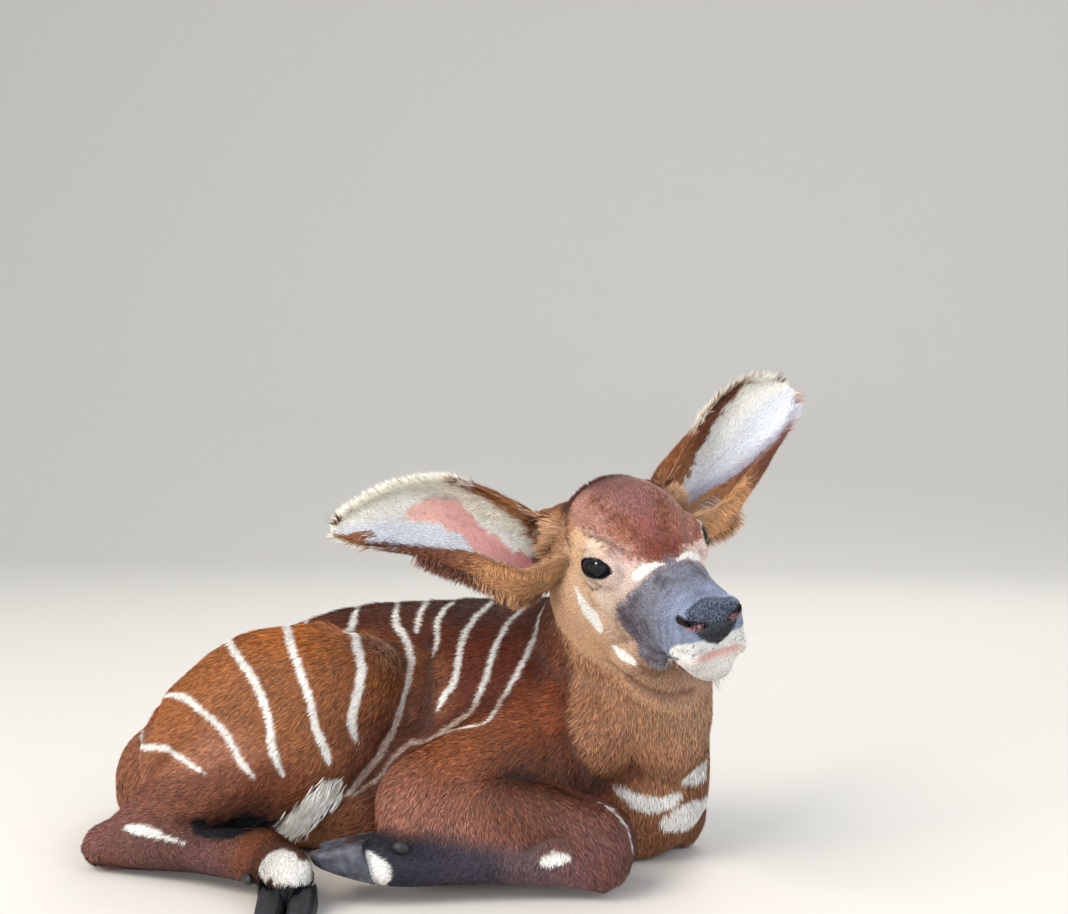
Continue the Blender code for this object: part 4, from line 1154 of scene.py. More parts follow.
        # painted reflection: the wet nose pad lighter and bluer towards its top
        pad = graded(z, ((-14, "#111319"), (-2, "#222836"), (6, "#444f66")))
        colours = self.mix(colours, pad, wet)
        placed = self.head.eye_matrix(1).inverted()
        gaze = folded @ np.array(placed)[:3, :3].T + np.array(placed)[:3, 3]
        lid = self.head.lid_share(gaze[:, 0], gaze[:, 1])
        rim = soft_step(1.34, 1.14, lid) * (gaze[:, 2] > 0.002)
        colours = self.mix(colours, linear("#120e10")[None, :], rim)
        # painted shade in and round each nostril's opening
        route = spline(self.head.nostril_line, 3) * MM
        slit = line_distance(folded, route[:, :3], 0.02)[:, 0] / MM
        colours = self.mix(colours, linear("#1b1518")[None, :], soft_step(3.6, 2.6, slit) * (x > 122))
        below = soft_step(4.4, 3.8, slit) * soft_step(2.0, 2.6, slit) * soft_step(1.0, -0.5,
                                                                                  z) * soft_step(141, 138, x)
        colours = self.mix(colours, linear("#a8757c")[None, :], below * soft_step(127, 130, x))
        return colours, wet

    def ear_colours(self, ear: EarForm, points: np.ndarray, normals: np.ndarray,
                    rough: np.ndarray) -> tuple[np.ndarray, np.ndarray]:
        """An ear's colours.

        Args:
            ear: The ear.
            points: Places in the frame.
            normals: Normals there.
            rough: Noise for the edges.

        Returns:
            Linear colours, and how bare each place is.
        """
        share, wide, within = ear.inside(self.head, points, normals).T
        share = share + rough * 0.04
        wide = wide + rough * 0.07
        marks = ear.marks
        near_tip = soft_step(0.76, 0.86, share)[:, None]
        back = graded(share, ((0.0, "#c69e78"), (0.2, "#b88a62"), (0.38, "#a47450"), (0.5, "#774936"),
                              (0.8, "#7c4c38")))
        rust = graded(share, ((0.0, "#74462e"), (0.2, "#84502f"), (0.5, "#6e402e")))
        back = self.mix(back, rust, soft_step(0.2, -0.3, wide))
        pale = np.maximum(near_tip, (soft_step(-0.82, -0.94, wide) * soft_step(0.34, 0.48, share))[:, None])
        back = back * (1 - pale) + linear("#ece5d6") * pale
        cream = graded(wide, ((-0.9, "#fbf4e4"), (-0.3, "#f9f5ec"), (0.1, "#e6e9f0"), (0.7, "#eceef2")))
        pink = graded(share, ((0.05, "#a5626a"), (0.2, "#b9807c"), (0.4, "#c9938a"), (0.6, "#cf9f92")))
        # painted shade along a crease of the pink skin inside the ear
        crease = np.abs(wide + 0.36) < 0.03
        pink = pink * (1 - 0.18 * crease * (share > 0.33))[:, None]
        bare = soft_step(-0.05, 0.05, wide - marks.at(marks.pink_rear, share))
        bare = bare * soft_step(0.05, -0.05, wide - marks.at(marks.pink_front, share)) * soft_step(0.75,
                                                                                                   0.62,
                                                                                                   share)
        front = self.mix(cream, pink, bare)
        # lavender grey before the left ear's front rim: its skin between white hairs, deepened with painted
        # shade
        if ear.side > 0:
            veil = soft_step(0.35, 0.0, marks.at(marks.brown_front, share) - wide)
            front = self.mix(front, linear("#a29db6")[None, :], veil * 0.7)
        rear = soft_step(0.03, -0.03, wide - marks.at(marks.brown_rear, share))
        brown = graded(share, ((0.0, "#d0aa84"), (0.2, "#b07a4e"), (0.45, "#7c4830"), (0.7, "#6a3e2c")))
        front = self.mix(front, brown, rear)
        edge = soft_step(-0.04, 0.04, wide - marks.at(marks.brown_front, share))
        brown = graded(share, ((0.0, "#cfa984"), (0.22, "#c3946c"), (0.38, "#ac7850"), (0.5, "#82503c"),
                               (0.75, "#6b4438"),
                               (0.9, "#9c6a46")))
        front = self.mix(front, brown, edge)
        # painted shade in the hollow at the ear's root
        canal = soft_step(0.13, 0.07, share) * soft_step(0.30, 0.12, np.abs(wide + 0.03))
        front = self.mix(front, linear("#3f1e24")[None, :], canal * 0.9)
        colours = np.where(within[:, None] > 0.5, front, back)
        return colours, bare * within

    def stripe_cover(self, points: np.ndarray, rough: np.ndarray) -> np.ndarray:
        """How white each place is from the stripes."""
        cover = np.zeros(len(points))
        for line, width in self.stripes:
            found = line_distance(points, line, 0.015)
            ends = np.minimum(found[:, 1], 1 - found[:, 1])
            half = width * 0.5 * (0.45 + 0.55 * soft_step(0.0, 0.12, ends))
            cover = np.maximum(cover, soft_step(1.0, -1.0, (found[:, 0] - half + rough * 0.0008) / 0.0011))
        return cover

    def near_stripes(self, points: np.ndarray) -> np.ndarray:
        """1 on a stripe and beside it, falling to 0 some way off."""
        gap = np.ones(len(points))
        for line, _ in self.stripes:
            gap = np.minimum(gap, line_distance(points, line, 0.02)[:, 0])
        return soft_step(0.012, 0.006, gap)

    def colours(self, points: np.ndarray, normals: np.ndarray, weights: np.ndarray,
                ear_sides: np.ndarray) -> tuple[np.ndarray, np.ndarray]:
        """The coat's colours.

        Args:
            points: Places in the frame, one row each.
            normals: Normals there.
            weights: How far each place belongs to each part.
            ear_sides: Which side an ear's places are on, -1 or 1.

        Returns:
            Linear colours, and columns for wet and bare skin.
        """
        rough = 0.6 * ripple(points, 0.004, 3) + 0.4 * ripple(points, 0.0016, 4)
        folded = points.copy()
        folded[:, 1] = np.abs(folded[:, 1] - MIDLINE)
        colours = np.zeros((len(points), 3))
        zones = np.zeros((len(points), 2))
        for part, tones in BODY_TONES.items():
            held = np.flatnonzero(weights[:, part.value] > 1e-4)
            colours[held] += self.shade(folded[held], tones) * weights[held, part.value, None]
        inner = folded[:, 1] / MM + 16 * soft_step(95, 78, folded[:, 2] / MM)
        chest = weights[:, (Part.TRUNK.value, Part.NECK.value)].sum(1)
        chest = chest + weights[:, Part.ARM.value] * soft_step(116, 106, inner)
        edge = np.interp(folded[:, 2] / MM, *FOLD_LINE)
        tan = soft_step(-4, 4, folded[:, 0] / MM - edge + rough * 3) * (folded[:, 0] > 0.09)
        colours = self.mix(colours, self.shade(folded, NECK_TONES), tan * chest)
        held = np.flatnonzero(weights[:, Part.HEAD.value] > 1e-4)
        ground, wet = self.head_colours(points[held], rough[held])
        colours[held] += ground * weights[held, Part.HEAD.value, None]
        zones[held, 0] = wet * weights[held, Part.HEAD.value]
        cover = self.stripe_cover(points, rough)[:, None]
        cover *= 1 - np.minimum(1, weights[:, (Part.HEAD.value, Part.EAR.value)].sum(1))[:, None]
        colours = colours * (1 - cover) + linear("#e6e2dc") * cover
        for line, colour, edge in self.patches:
            cover = self.patch_cover(points, line, edge, rough)[:, None]
            colours = colours * (1 - cover) + colour * cover
        for ear in EARS:
            held = np.flatnonzero((weights[:, Part.EAR.value] > 1e-4) & (ear_sides == ear.side))
            share = weights[held, Part.EAR.value, None]
            ground, bare = self.ear_colours(ear, points[held], normals[held], rough[held])
            colours[held] = colours[held] * (1 - share) + ground * share
            zones[held, 1] = bare * share[:, 0]
        colours *= (1 + 0.07 * ripple(points, 0.030, 8))[:, None]
        return np.clip(colours, 0.001, 0.95), zones


@dataclass
class Skin:
    """The whole skin as one closed mesh, with what the coat needs to know about each vertex."""

    head: HeadForm
    voxel: float = 0.0041
    obj: Object = None
    weights: np.ndarray = None
    # how much painted shade each vertex takes from the folds
    crease: np.ndarray = None
    ear_sides: np.ndarray = None
    neck_point: Vector = field(default_factory=lambda: Vector((0.2268, -0.0726, 0.1766)) - ORIGIN)
    neck_axis: Vector = field(default_factory=lambda: Vector((0.33, -0.81, 0.485)).normalized())

    def flesh(self) -> list[str]:
        """Names of the solids that the skin stands for."""
        hard = ("eye", "hoof", "dewclaw")
        return [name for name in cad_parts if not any(word in name for word in hard)]

    def body(self) -> Object:
        """The trunk, neck, tail and legs from the solids, drawn into one smooth surface."""
        bm = bmesh.new()
        for name in self.flesh():
            if name.startswith("ear"):
                continue
            part = bmesh.new()
            part.from_mesh(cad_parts[name].data)
            bmesh.ops.remove_doubles(part, verts=part.verts, dist=1e-6)
            part.normal_update()
            for vert in part.verts:
                vert.co += vert.normal * 0.0004
            mesh = bpy.data.meshes.new("part")
            part.to_mesh(mesh)
            part.free()
            bm.from_mesh(mesh)
            bpy.data.meshes.remove(mesh)
        body = object_from(bm, "body_form")
        modified(body, "REMESH", mode="VOXEL", voxel_size=self.voxel)
        modified(body, "SMOOTH", factor=0.5, iterations=10)
        return body

    def build(self) -> None:
        """Joins body, head and ears, and moves the surface in by the coat's depth."""
        body = self.body()
        head = self.head.build()
        above = self.neck_point + self.neck_axis * 0.006
        below = self.neck_point - self.neck_axis * 0.004
        combine(body, half_space(above, self.neck_axis), "DIFFERENCE")
        keep_largest(body)
        combine(head, half_space(below, self.neck_axis), "INTERSECT")
        keep_largest(head)
        self.head.open_up(head)
        for ear in EARS:
            combine(head, ear.hollow(self.head), "DIFFERENCE")
            combine(head, ear.build(self.head), "UNION")
        combine(body, head, "UNION")
        body.name = "skin"
        self.obj = body
        keep_largest(body)
        put_in_order(body)
        self.label()
        self.sink()
        self.find_creases()
        body.data.shade_smooth()
        LOG.info("skin: %d faces", len(body.data.polygons))

    def label(self) -> None:
        """Gives each vertex its share of each part, blurred where parts meet."""
        points, faces, owner = [], [], []
        for name in self.flesh():
            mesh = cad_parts[name].data
            start = len(points)
            points += [vert.co.copy() for vert in mesh.vertices]
            for face in mesh.polygons:
                faces.append([start + index for index in face.vertices])
                owner.append(Part.of(name).value)
        tree = BVHTree.FromPolygons(points, faces)
        rows = vertex_rows(self.obj.data)
        labels = np.array([owner[tree.find_nearest(Vector(row))[2]] for row in rows])
        self.weights = np.eye(len(Part))[labels]
        edges = np.empty(len(self.obj.data.edges) * 2, np.int32)
        self.obj.data.edges.foreach_get("vertices", edges)
        a, b = edges.reshape(-1, 2).T
        degree = np.maximum(1, np.bincount(a, minlength=len(rows)) + np.bincount(b, minlength=len(rows)))
        for _ in range(8):
            for column in self.weights.T:
                near = np.bincount(a, column[b], len(rows)) + np.bincount(b, column[a], len(rows))
                column[:] = 0.5 * column + 0.5 * near / degree
        self.ear_sides = np.where(self.head.inside(rows)[:, 1] > 0, 1, -1)

    def sink(self) -> None:
        """Moves the surface in by the coat's depth, and evens the join at the neck."""
        mesh = self.obj.data
        rows, normals = vertex_rows(mesh), vertex_rows(mesh, "normal")
        depths = self.weights @ np.array([HAIR[part].depth for part in Part]) * MM
        local = self.head.inside(rows)
        folded = np.column_stack([local[:, 0], np.abs(local[:, 1]), local[:, 2]])
        from_eye = np.linalg.norm(folded - np.array(self.head.eye), axis=1) - self.head.eye_radius
        depths *= soft_step(0.003, 0.008, from_eye) * soft_step(0.134, 0.118, local[:, 0])
        self.crease = np.zeros(len(rows))
        on_head = np.minimum(1, self.weights[:, (Part.HEAD.value, Part.NECK.value)].sum(1))
        for folds, places, share in ((FOLDS, rows, 1 - self.weights[:, Part.EAR.value]),
                                     (HEAD_FOLDS, local, on_head)):
            middle = MIDLINE if folds is FOLDS else 0.0
            for fold in folds:
                line = spline(fold.line, 4) * MM
                for mirrored in (False, True)[: 1 + fold.both_sides]:
                    drawn = line.copy()
                    if mirrored:
                        drawn[:, 1] = 2 * middle - drawn[:, 1]
                    gap, along = line_distance(places, drawn, 0.02).T
                    pull = np.exp(-((gap / (fold.width * MM)) ** 2)) * share
                    pull *= soft_step(0.0, 0.2, np.minimum(along, 1 - along) + 0.04)
                    depths += fold.depth * MM * pull
                    self.crease = np.maximum(self.crease, fold.shade * pull**2)
        rows -= normals * depths[:, None]
        rows[:, 2] = np.maximum(rows[:, 2], 0.0008)
        mesh.vertices.foreach_set("co", rows.astype(np.float32).ravel())
        bm = bmesh.new()
        bm.from_mesh(mesh)
        near = [vert for vert in bm.verts
                if abs((vert.co - self.neck_point).dot(self.neck_axis) - 0.001) < 0.012
                and (vert.co - self.neck_point).length < 0.150]
        for _ in range(10):
            bmesh.ops.smooth_vert(bm, verts=near, factor=0.5, use_axis_x=True, use_axis_y=True,
                                  use_axis_z=True)
        bm.to_mesh(mesh)
        bm.free()
        mesh.update()

    def find_creases(self) -> None:
        """Finds how deep each vertex lies in a fold, where skin and coat are painted darker as shade."""
        mesh = self.obj.data
        rows, normals = vertex_rows(mesh), vertex_rows(mesh, "normal")
        even = rows.copy()
        edges = np.empty(len(mesh.edges) * 2, np.int32)
        mesh.edges.foreach_get("vertices", edges)
        a, b = edges.reshape(-1, 2).T
        degree = np.maximum(1, np.bincount(a, minlength=len(rows)) + np.bincount(b, minlength=len(rows)))
        for _ in range(30):
            for column in even.T:
                near = np.bincount(a, column[b], len(rows)) + np.bincount(b, column[a], len(rows))
                column[:] = near / degree
        sunk = np.einsum("ij,ij->i", even - rows, normals)
        away = rows - np.array(self.neck_point)
        joined = soft_step(0.050, 0.025, np.abs(away @ np.array(self.neck_axis)))
        joined = joined * soft_step(0.14, 0.11, np.linalg.norm(away, axis=1))
        found = soft_step(0.0004, 0.0030, sunk) * (1 - 0.85 * joined) * (1 - 0.8 * self.weights[:,
                                                                                                Part.EAR.value])
        self.crease = np.maximum(self.crease, found)

    def tree(self) -> BVHTree:
        """The skin for nearest-point searches."""
        bm = bmesh.new()
        bm.from_mesh(self.obj.data)
        found = BVHTree.FromBMesh(bm)
        bm.free()
        return found

    def dress(self, markings: Markings) -> None:
        """Stores the markings on the vertices and gives the skin its material and its nodes."""
        mesh = self.obj.data
        points, normals = vertex_rows(mesh), vertex_rows(mesh, "normal")
        colours, zones = markings.colours(points, normals, self.weights, self.ear_sides)
        bare = np.clip(zones.sum(1), 0, 1)
        gaps = 0.62 + 0.38 * bare  # skin between the hairs is in their shade
        # painted shade between the hairs and in the folds
        shade = gaps[:, None] * (1 - self.crease[:, None] * np.array(CREASE_SHADE))
        set_colours(mesh, "tint", colours * shade)
        set_colours(mesh, "zone", np.column_stack([zones, np.zeros(len(zones))]))
        mesh.materials.clear()
        mesh.materials.append(HairySkin().material())
        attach(self.obj, "root")
        sunk = [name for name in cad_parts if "dewclaw" in name and not is_horn(name)]
        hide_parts(*self.flesh(), *sunk)


@dataclass(frozen=True)
class HairySkin:
    """Skin under short hair: matt and finely grained, moist and pebbled on the nose."""

    name: str = "calf_skin"
    grain: float = 1 / 0.0011  # hair roots a little over a millimetre apart
    pebbles: float = 1 / 0.0017  # the nose's pebbles are about 1.7 mm apart

    def material(self) -> Material:
        """Builds the material."""
        material, tree, shader = new_material(self.name)
        place = add_node(tree, "TexCoord").outputs["Object"]
        tint = add_node(tree, "Attribute", {"attribute_name": "tint"}).outputs["Color"]
        zone = add_node(tree, "Attribute", {"attribute_name": "zone"}).outputs["Color"]
        split = add_node(tree, "SeparateColor", inputs={"Color": zone})
        fine = add_node(tree, "TexNoise", inputs={"Vector": place, "Scale": self.grain, "Detail": 3.0})
        dark = add_node(tree, "MapRange", inputs={"Value": fine.outputs["Fac"], "From Min": 0.3,
                                                  "From Max": 0.7,
                                                  "To Min": 0.72, "To Max": 1.08})
        shade = add_node(tree, "MixRGB", {"blend_type": "MULTIPLY"},
                         {"Fac": 1.0, "Color1": tint, "Color2": dark.outputs["Result"]})
        cells = add_node(tree, "TexVoronoi", {"feature": "SMOOTH_F1"},
                         {"Vector": place, "Scale": self.pebbles, "Smoothness": 0.4})
        wet = split.outputs["Red"]
        # painted highlight and shade: each pebble lighter in its middle and the grooves between them darker
        gap = add_node(tree, "MapRange", inputs={"Value": cells.outputs["Distance"], "From Min": 0.2,
                                                 "From Max": 0.6, "To Min": 1.6, "To Max": 0.35})
        pebbled = add_node(tree, "MixRGB", {"blend_type": "MULTIPLY"},
                           {"Fac": wet, "Color1": shade.outputs["Color"], "Color2": gap.outputs["Result"]})
        tree.links.new(pebbled.outputs["Color"], shader.inputs["Base Color"])
        bare = split.outputs["Green"]
        rough = add_node(tree, "MapRange", inputs={"Value": wet, "To Min": 0.72, "To Max": 0.2})
        less = add_node(tree, "MapRange", inputs={"Value": bare, "To Min": 0.0, "To Max": 0.22})
        final = add_node(tree, "Math", {"operation": "SUBTRACT"},
                         {0: rough.outputs["Result"], 1: less.outputs["Result"]})
        tree.links.new(final.outputs["Value"], shader.inputs["Roughness"])
        hair = add_node(tree, "Bump", inputs={"Strength": 0.45, "Distance": 0.0006,
                                              "Height": fine.outputs["Fac"]})
        nose = add_node(tree, "Math", {"operation": "MULTIPLY"}, {0: cells.outputs["Distance"], 1: wet})
        pebble = add_node(tree, "Bump", {"invert": True},
                          {"Strength": 1.0, "Distance": 0.0022, "Height": nose.outputs["Value"],
                           "Normal": hair.outputs["Normal"]})
        tree.links.new(pebble.outputs["Normal"], shader.inputs["Normal"])
        shader.inputs["Specular IOR Level"].default_value = 0.4
        return material


@dataclass(frozen=True)
class HairFinish:
    """Fine dry hair: each tuft takes the coat's colour, a little shiny along its length."""

    name: str = "calf_hair"

    def material(self) -> Material:
        """Builds the material."""
        material, tree, shader = new_material(self.name)
        tint = add_node(tree, "Attribute", {"attribute_name": "tint"}).outputs["Color"]
        place = add_node(tree, "TexCoord").outputs["Object"]
        fine = add_node(tree, "TexNoise", inputs={"Vector": place, "Scale": 1 / 0.0008, "Detail": 2.0})
        vary = add_node(tree, "MapRange", inputs={"Value": fine.outputs["Fac"], "From Min": 0.3,
                                                  "From Max": 0.7,
                                                  "To Min": 0.86, "To Max": 1.14})
        shade = add_node(tree, "MixRGB", {"blend_type": "MULTIPLY"},
                         {"Fac": 1.0, "Color1": tint, "Color2": vary.outputs["Result"]})
        tree.links.new(shade.outputs["Color"], shader.inputs["Base Color"])
        shader.inputs["Roughness"].default_value = 0.52
        shader.inputs["Specular IOR Level"].default_value = 0.2
        return material


@dataclass(frozen=True)
class Lie:
    """Which way the hair lies along a stretch of the body, in mm, and how far that reaches."""

    start: tuple[float, float, float]
    end: tuple[float, float, float]
    way: tuple[float, float, float]
    reach: float = 35.0


# Places are on the calf's right, and the left is their mirror image
LIES = (
    Lie((130, 22, 200), (-60, 22, 200), (-1, 0, -0.1)), Lie((-60, 22, 200), (-260, 22, 90), (-0.9, 0, -0.5)),
    Lie((100, -60, 150), (0, -80, 150), (-0.9, -0.1, -0.5)), Lie((100, -70, 90), (0, -80, 80),
                                                                 (-0.9, 0, -0.4)),
    Lie((140, -40, 140), (120, -50, 80), (-0.3, -0.2, -1)), Lie((200, -20, 110), (205, -20, 40),
                                                                (0.1, -0.1, -1)),
    Lie((-20, -80, 175), (-40, -95, 90), (-0.6, 0, -0.8)), Lie((-90, -90, 170), (-100, -110, 90),
                                                               (-0.8, 0, -0.65)),
    Lie((-170, -70, 140), (-200, -90, 70), (-0.8, 0.1, -0.6)),
    Lie((-260, -40, 80), (-280, -60, 30), (-0.5, 0.2, -0.9)),
    Lie((-60, -95, 65), (-120, -110, 50), (-0.9, 0, -0.45), 25),
    Lie((-120, -120, 50), (-225, -110, 25), (-1, 0, -0.25), 25),
    Lie((-225, -112, 20), (-85, -150, 28), (1, -0.27, 0.02), 16),
    Lie((-85, -150, 28), (-50, -184, 28), (0.6, -0.7, -0.3), 14),
    Lie((120, -90, 125), (60, -100, 90), (-0.75, 0, -0.65)), Lie((40, -105, 90), (30, -110, 45),
                                                                 (-0.3, -0.2, -0.95)),
    Lie((50, -115, 50), (100, -120, 40), (0.3, -0.15, -1), 28),
    Lie((110, -110, 70), (160, -105, 60), (0.75, -0.1, -0.7), 28),
    Lie((165, -105, 50), (165, -105, 20), (0.4, -0.1, -0.9), 24),
    Lie((150, -105, 25), (25, -150, 28), (-1, -0.36, 0), 14),
    Lie((20, -152, 30), (0, -155, 32), (-1, 0, 0), 12),
    Lie((150, -60, 240), (170, -30, 180), (0.1, 0.3, -1)), Lie((200, -60, 200), (200, -20, 130),
                                                               (0.1, 0.2, -1)),
    Lie((150, -10, 220), (130, 10, 190), (-0.6, 0.4, -0.6)),
    Lie((-230, 30, 95), (-285, 95, 20), (-0.5, 0.6, -0.6), 18),
    Lie((-285, 105, 20), (-225, 165, 11), (0.8, 0.6, -0.1), 14),
)
# The same for the head, in its own frame
HEAD_LIES = (
    Lie((135, 0, 10), (60, 0, 28), (-1, 0, 0.2), 16), Lie((60, 0, 28), (-30, 0, 52), (-1, 0, 0.3), 20),
    Lie((120, 26, -10), (60, 30, -10), (-1, 0.2, 0.1), 16), Lie((60, 30, 5), (35, 46, -15),
                                                                (-0.9, 0.4, -0.3), 16),
    Lie((40, 36, 26), (10, 40, 30), (-1, 0.4, 0.35), 12), Lie((20, 46, -20), (-30, 48, -30),
                                                              (-1, 0.1, -0.4), 20),
    Lie((120, 20, -40), (50, 25, -58), (-1, 0.1, -0.3), 16), Lie((10, 30, -60), (-30, 30, -60),
                                                                 (-0.9, 0.1, -0.8), 22),
    Lie((-20, 30, 45), (-50, 20, 30), (-1, 0.3, -0.2), 20),
)


class Comb:
    """The direction that hair takes at any place."""

    def __init__(self, head: HeadForm) -> None:
        """Collects the body's and the head's stretches in the frame."""
        self.rows = []
        matrix = head.matrix()
        for lie in LIES:
            for side in (1, -1):
                ends = [Vector(p) * MM for p in (lie.start, lie.end)]
                way = Vector(lie.way)
                if side < 0:
                    ends = [Vector((p.x, 2 * MIDLINE - p.y, p.z)) for p in ends]
                    way.y *= -1
                self.rows.append((ends[0], ends[1], way.normalized(), lie.reach * MM, False))
        for lie in HEAD_LIES:
            for side in (1, -1):
                ends = [matrix @ (Vector((p[0], p[1] * side, p[2])) * MM) for p in (lie.start, lie.end)]
                way = matrix.to_3x3() @ Vector((lie.way[0], lie.way[1] * side, lie.way[2]))
                self.rows.append((ends[0], ends[1], way.normalized(), lie.reach * MM, True))
        self.head = head

    def directions(self, points: np.ndarray, normals: np.ndarray, weights: np.ndarray,
                   ear_sides: np.ndarray) -> np.ndarray:
        """The lie of the hair, along the surface.

        Args:
            points: Places, one row each.
            normals: Normals there.
            weights: Each place's share of each part.
            ear_sides: Which side an ear's places are on.

        Returns:
            Unit vectors.
        """
        total = np.zeros((len(points), 3))
        on_head = weights[:, Part.HEAD.value]
        for start, end, way, reach, for_head in self.rows:
            line = np.array([start, end])
            gap = line_distance(points, line, 1.0)[:, 0] / reach
            weight = 1 / (0.05 + gap**4) * (on_head if for_head else 1 - on_head * 0.95)
            total += weight[:, None] * np.array(way)
        total = unit(total)
        on_ear = weights[:, Part.EAR.value]
        for ear in EARS:
            held = (on_ear > 0.01) & (ear_sides == ear.side)
            _, _, ahead, _, across = ear.axes(self.head)
            share, wide, within = ear.inside(self.head, points[held], normals[held]).T
            fan = np.array(ahead)[None, :] + np.outer(np.clip(wide, -1, 1) * 0.45 * (0.4 + within), across)
            mix = np.clip(on_ear[held] * 1.5, 0, 1)[:, None]
            total[held] = unit(total[held] * (1 - mix) + unit(fan) * mix)
        along = total - normals * np.einsum("ij,ij->i", total, normals)[:, None]
        return unit(along)


@dataclass
class Tufts:
    """Tufts of hair: arrays with one row for each."""

    root: np.ndarray
    normal: np.ndarray
    way: np.ndarray
    length: np.ndarray
    width: np.ndarray
    lift: np.ndarray
    colour: np.ndarray
    patch: np.ndarray  # place of the root on the skin's unwrap
    outline: tuple = ((0.0, 0.0), (0.4, 1.0), (1.0, 0.0))  # share of the length, share of the width
    droop: float = 0.35

    def part(self, rows: np.ndarray) -> "Tufts":
        """Some of the tufts."""
        fields = (self.root, self.normal, self.way, self.length, self.width, self.lift, self.colour,
                  self.patch)
        return Tufts(*[values[rows] for values in fields], self.outline, self.droop)

    def build(self, name: str, material: Material, slot: str) -> Object:
        """Makes one mesh of all the tufts, each a thin blade that bends over and tapers.

        Args:
            name: The piece's name.
            material: The hair's finish.
            slot: The name of a material slot; not used.

        Returns:
            The piece.
        """
        rng = np.random.default_rng(SEED + len(self.root))
        count = len(self.root)
        roll = rng.uniform(-0.45, 0.45, count)[:, None]
        side = unit(np.cross(self.way, self.normal))
        side = side * np.cos(roll) + self.normal * np.sin(roll)
        sway = rng.normal(0, 0.10, count)[:, None] * side
        points, shades, patches = [], [], []
        for share, broad in self.outline:
            rise = self.lift * self.length * (share - self.droop * share**2) - 0.0004 * (1 - share)
            middle = self.root + (self.way + sway * share) * (self.length * share)[:, None]
            middle = middle + self.normal * rise[:, None]
            if broad:
                edge = side * (self.width * 0.5 * broad)[:, None]
                points.append(np.stack([middle - edge, middle + edge], axis=1))
                patches += [(0.5 - broad / 2, share), (0.5 + broad / 2, share)]
            else:
                points.append(middle[:, None, :])
                patches.append((0.5, share))
            # painted shade at each tuft's root, deep in the coat, and painted light at its tip
            shades.append(np.repeat((self.colour * (0.50 + 0.68 * share))[:, None, :], points[-1].shape[1],
                                    axis=1))
        verts = np.concatenate(points, axis=1)
        verts[..., 2] = np.maximum(verts[..., 2], 0.0006)
        each = verts.shape[1]
        tris = [(0, 2, 1)]
        for a in range(1, each - 3, 2):
            tris += [(a, a + 1, a + 3), (a, a + 3, a + 2)]
        tris.append((each - 3, each - 2, each - 1))
        tris = np.array(tris)
        corners = (np.arange(count)[:, None, None] * each + tris[None]).reshape(-1)
        mesh = bpy.data.meshes.new(name)
        mesh.vertices.add(count * each)
        mesh.vertices.foreach_set("co", verts.astype(np.float32).ravel())
        mesh.loops.add(len(corners))
        mesh.loops.foreach_set("vertex_index", corners.astype(np.int32))
        mesh.polygons.add(len(corners) // 3)
        mesh.polygons.foreach_set("loop_start", np.arange(0, len(corners), 3, dtype=np.int32))
        mesh.update(calc_edges=True)
        set_colours(mesh, "tint", np.clip(np.concatenate(shades, axis=1).reshape(-1, 3), 0, 1))
        spots = (np.array(patches) - 0.5) * 0.003
        places = self.patch[:, None, :] + spots[None]
        layer = mesh.uv_layers.new(name="OFBake")
        layer.uv.foreach_set("vector", places.reshape(-1, 2)[corners].astype(np.float32).ravel())
        mesh.materials.append(material)
        mesh.shade_smooth()
        made = bpy.data.objects.new(name, mesh)
        bpy.context.scene.collection.objects.link(made)
        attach(made, "root")
        return made


class Seat(Enum):
    """What a lock's places are given in."""

    BODY = 0
    HEAD = 1
    RIGHT_EAR = 2
    LEFT_EAR = 3


@dataclass(frozen=True)
class Lock:
    """Longer hair along a line of roots.

    On an ear the line has rows of (share, turn), and the way's numbers are ahead, across and
    out of the cup. Elsewhere both are x, y, z, in mm, on the calf's right.
    """

    seat: Seat
    line: tuple
    way: tuple[float, float, float]
    length: float
    count: int
    spread: float
    colour: str
    width: float = 0.5
    lift: float = 0.25
    both_sides: bool = True


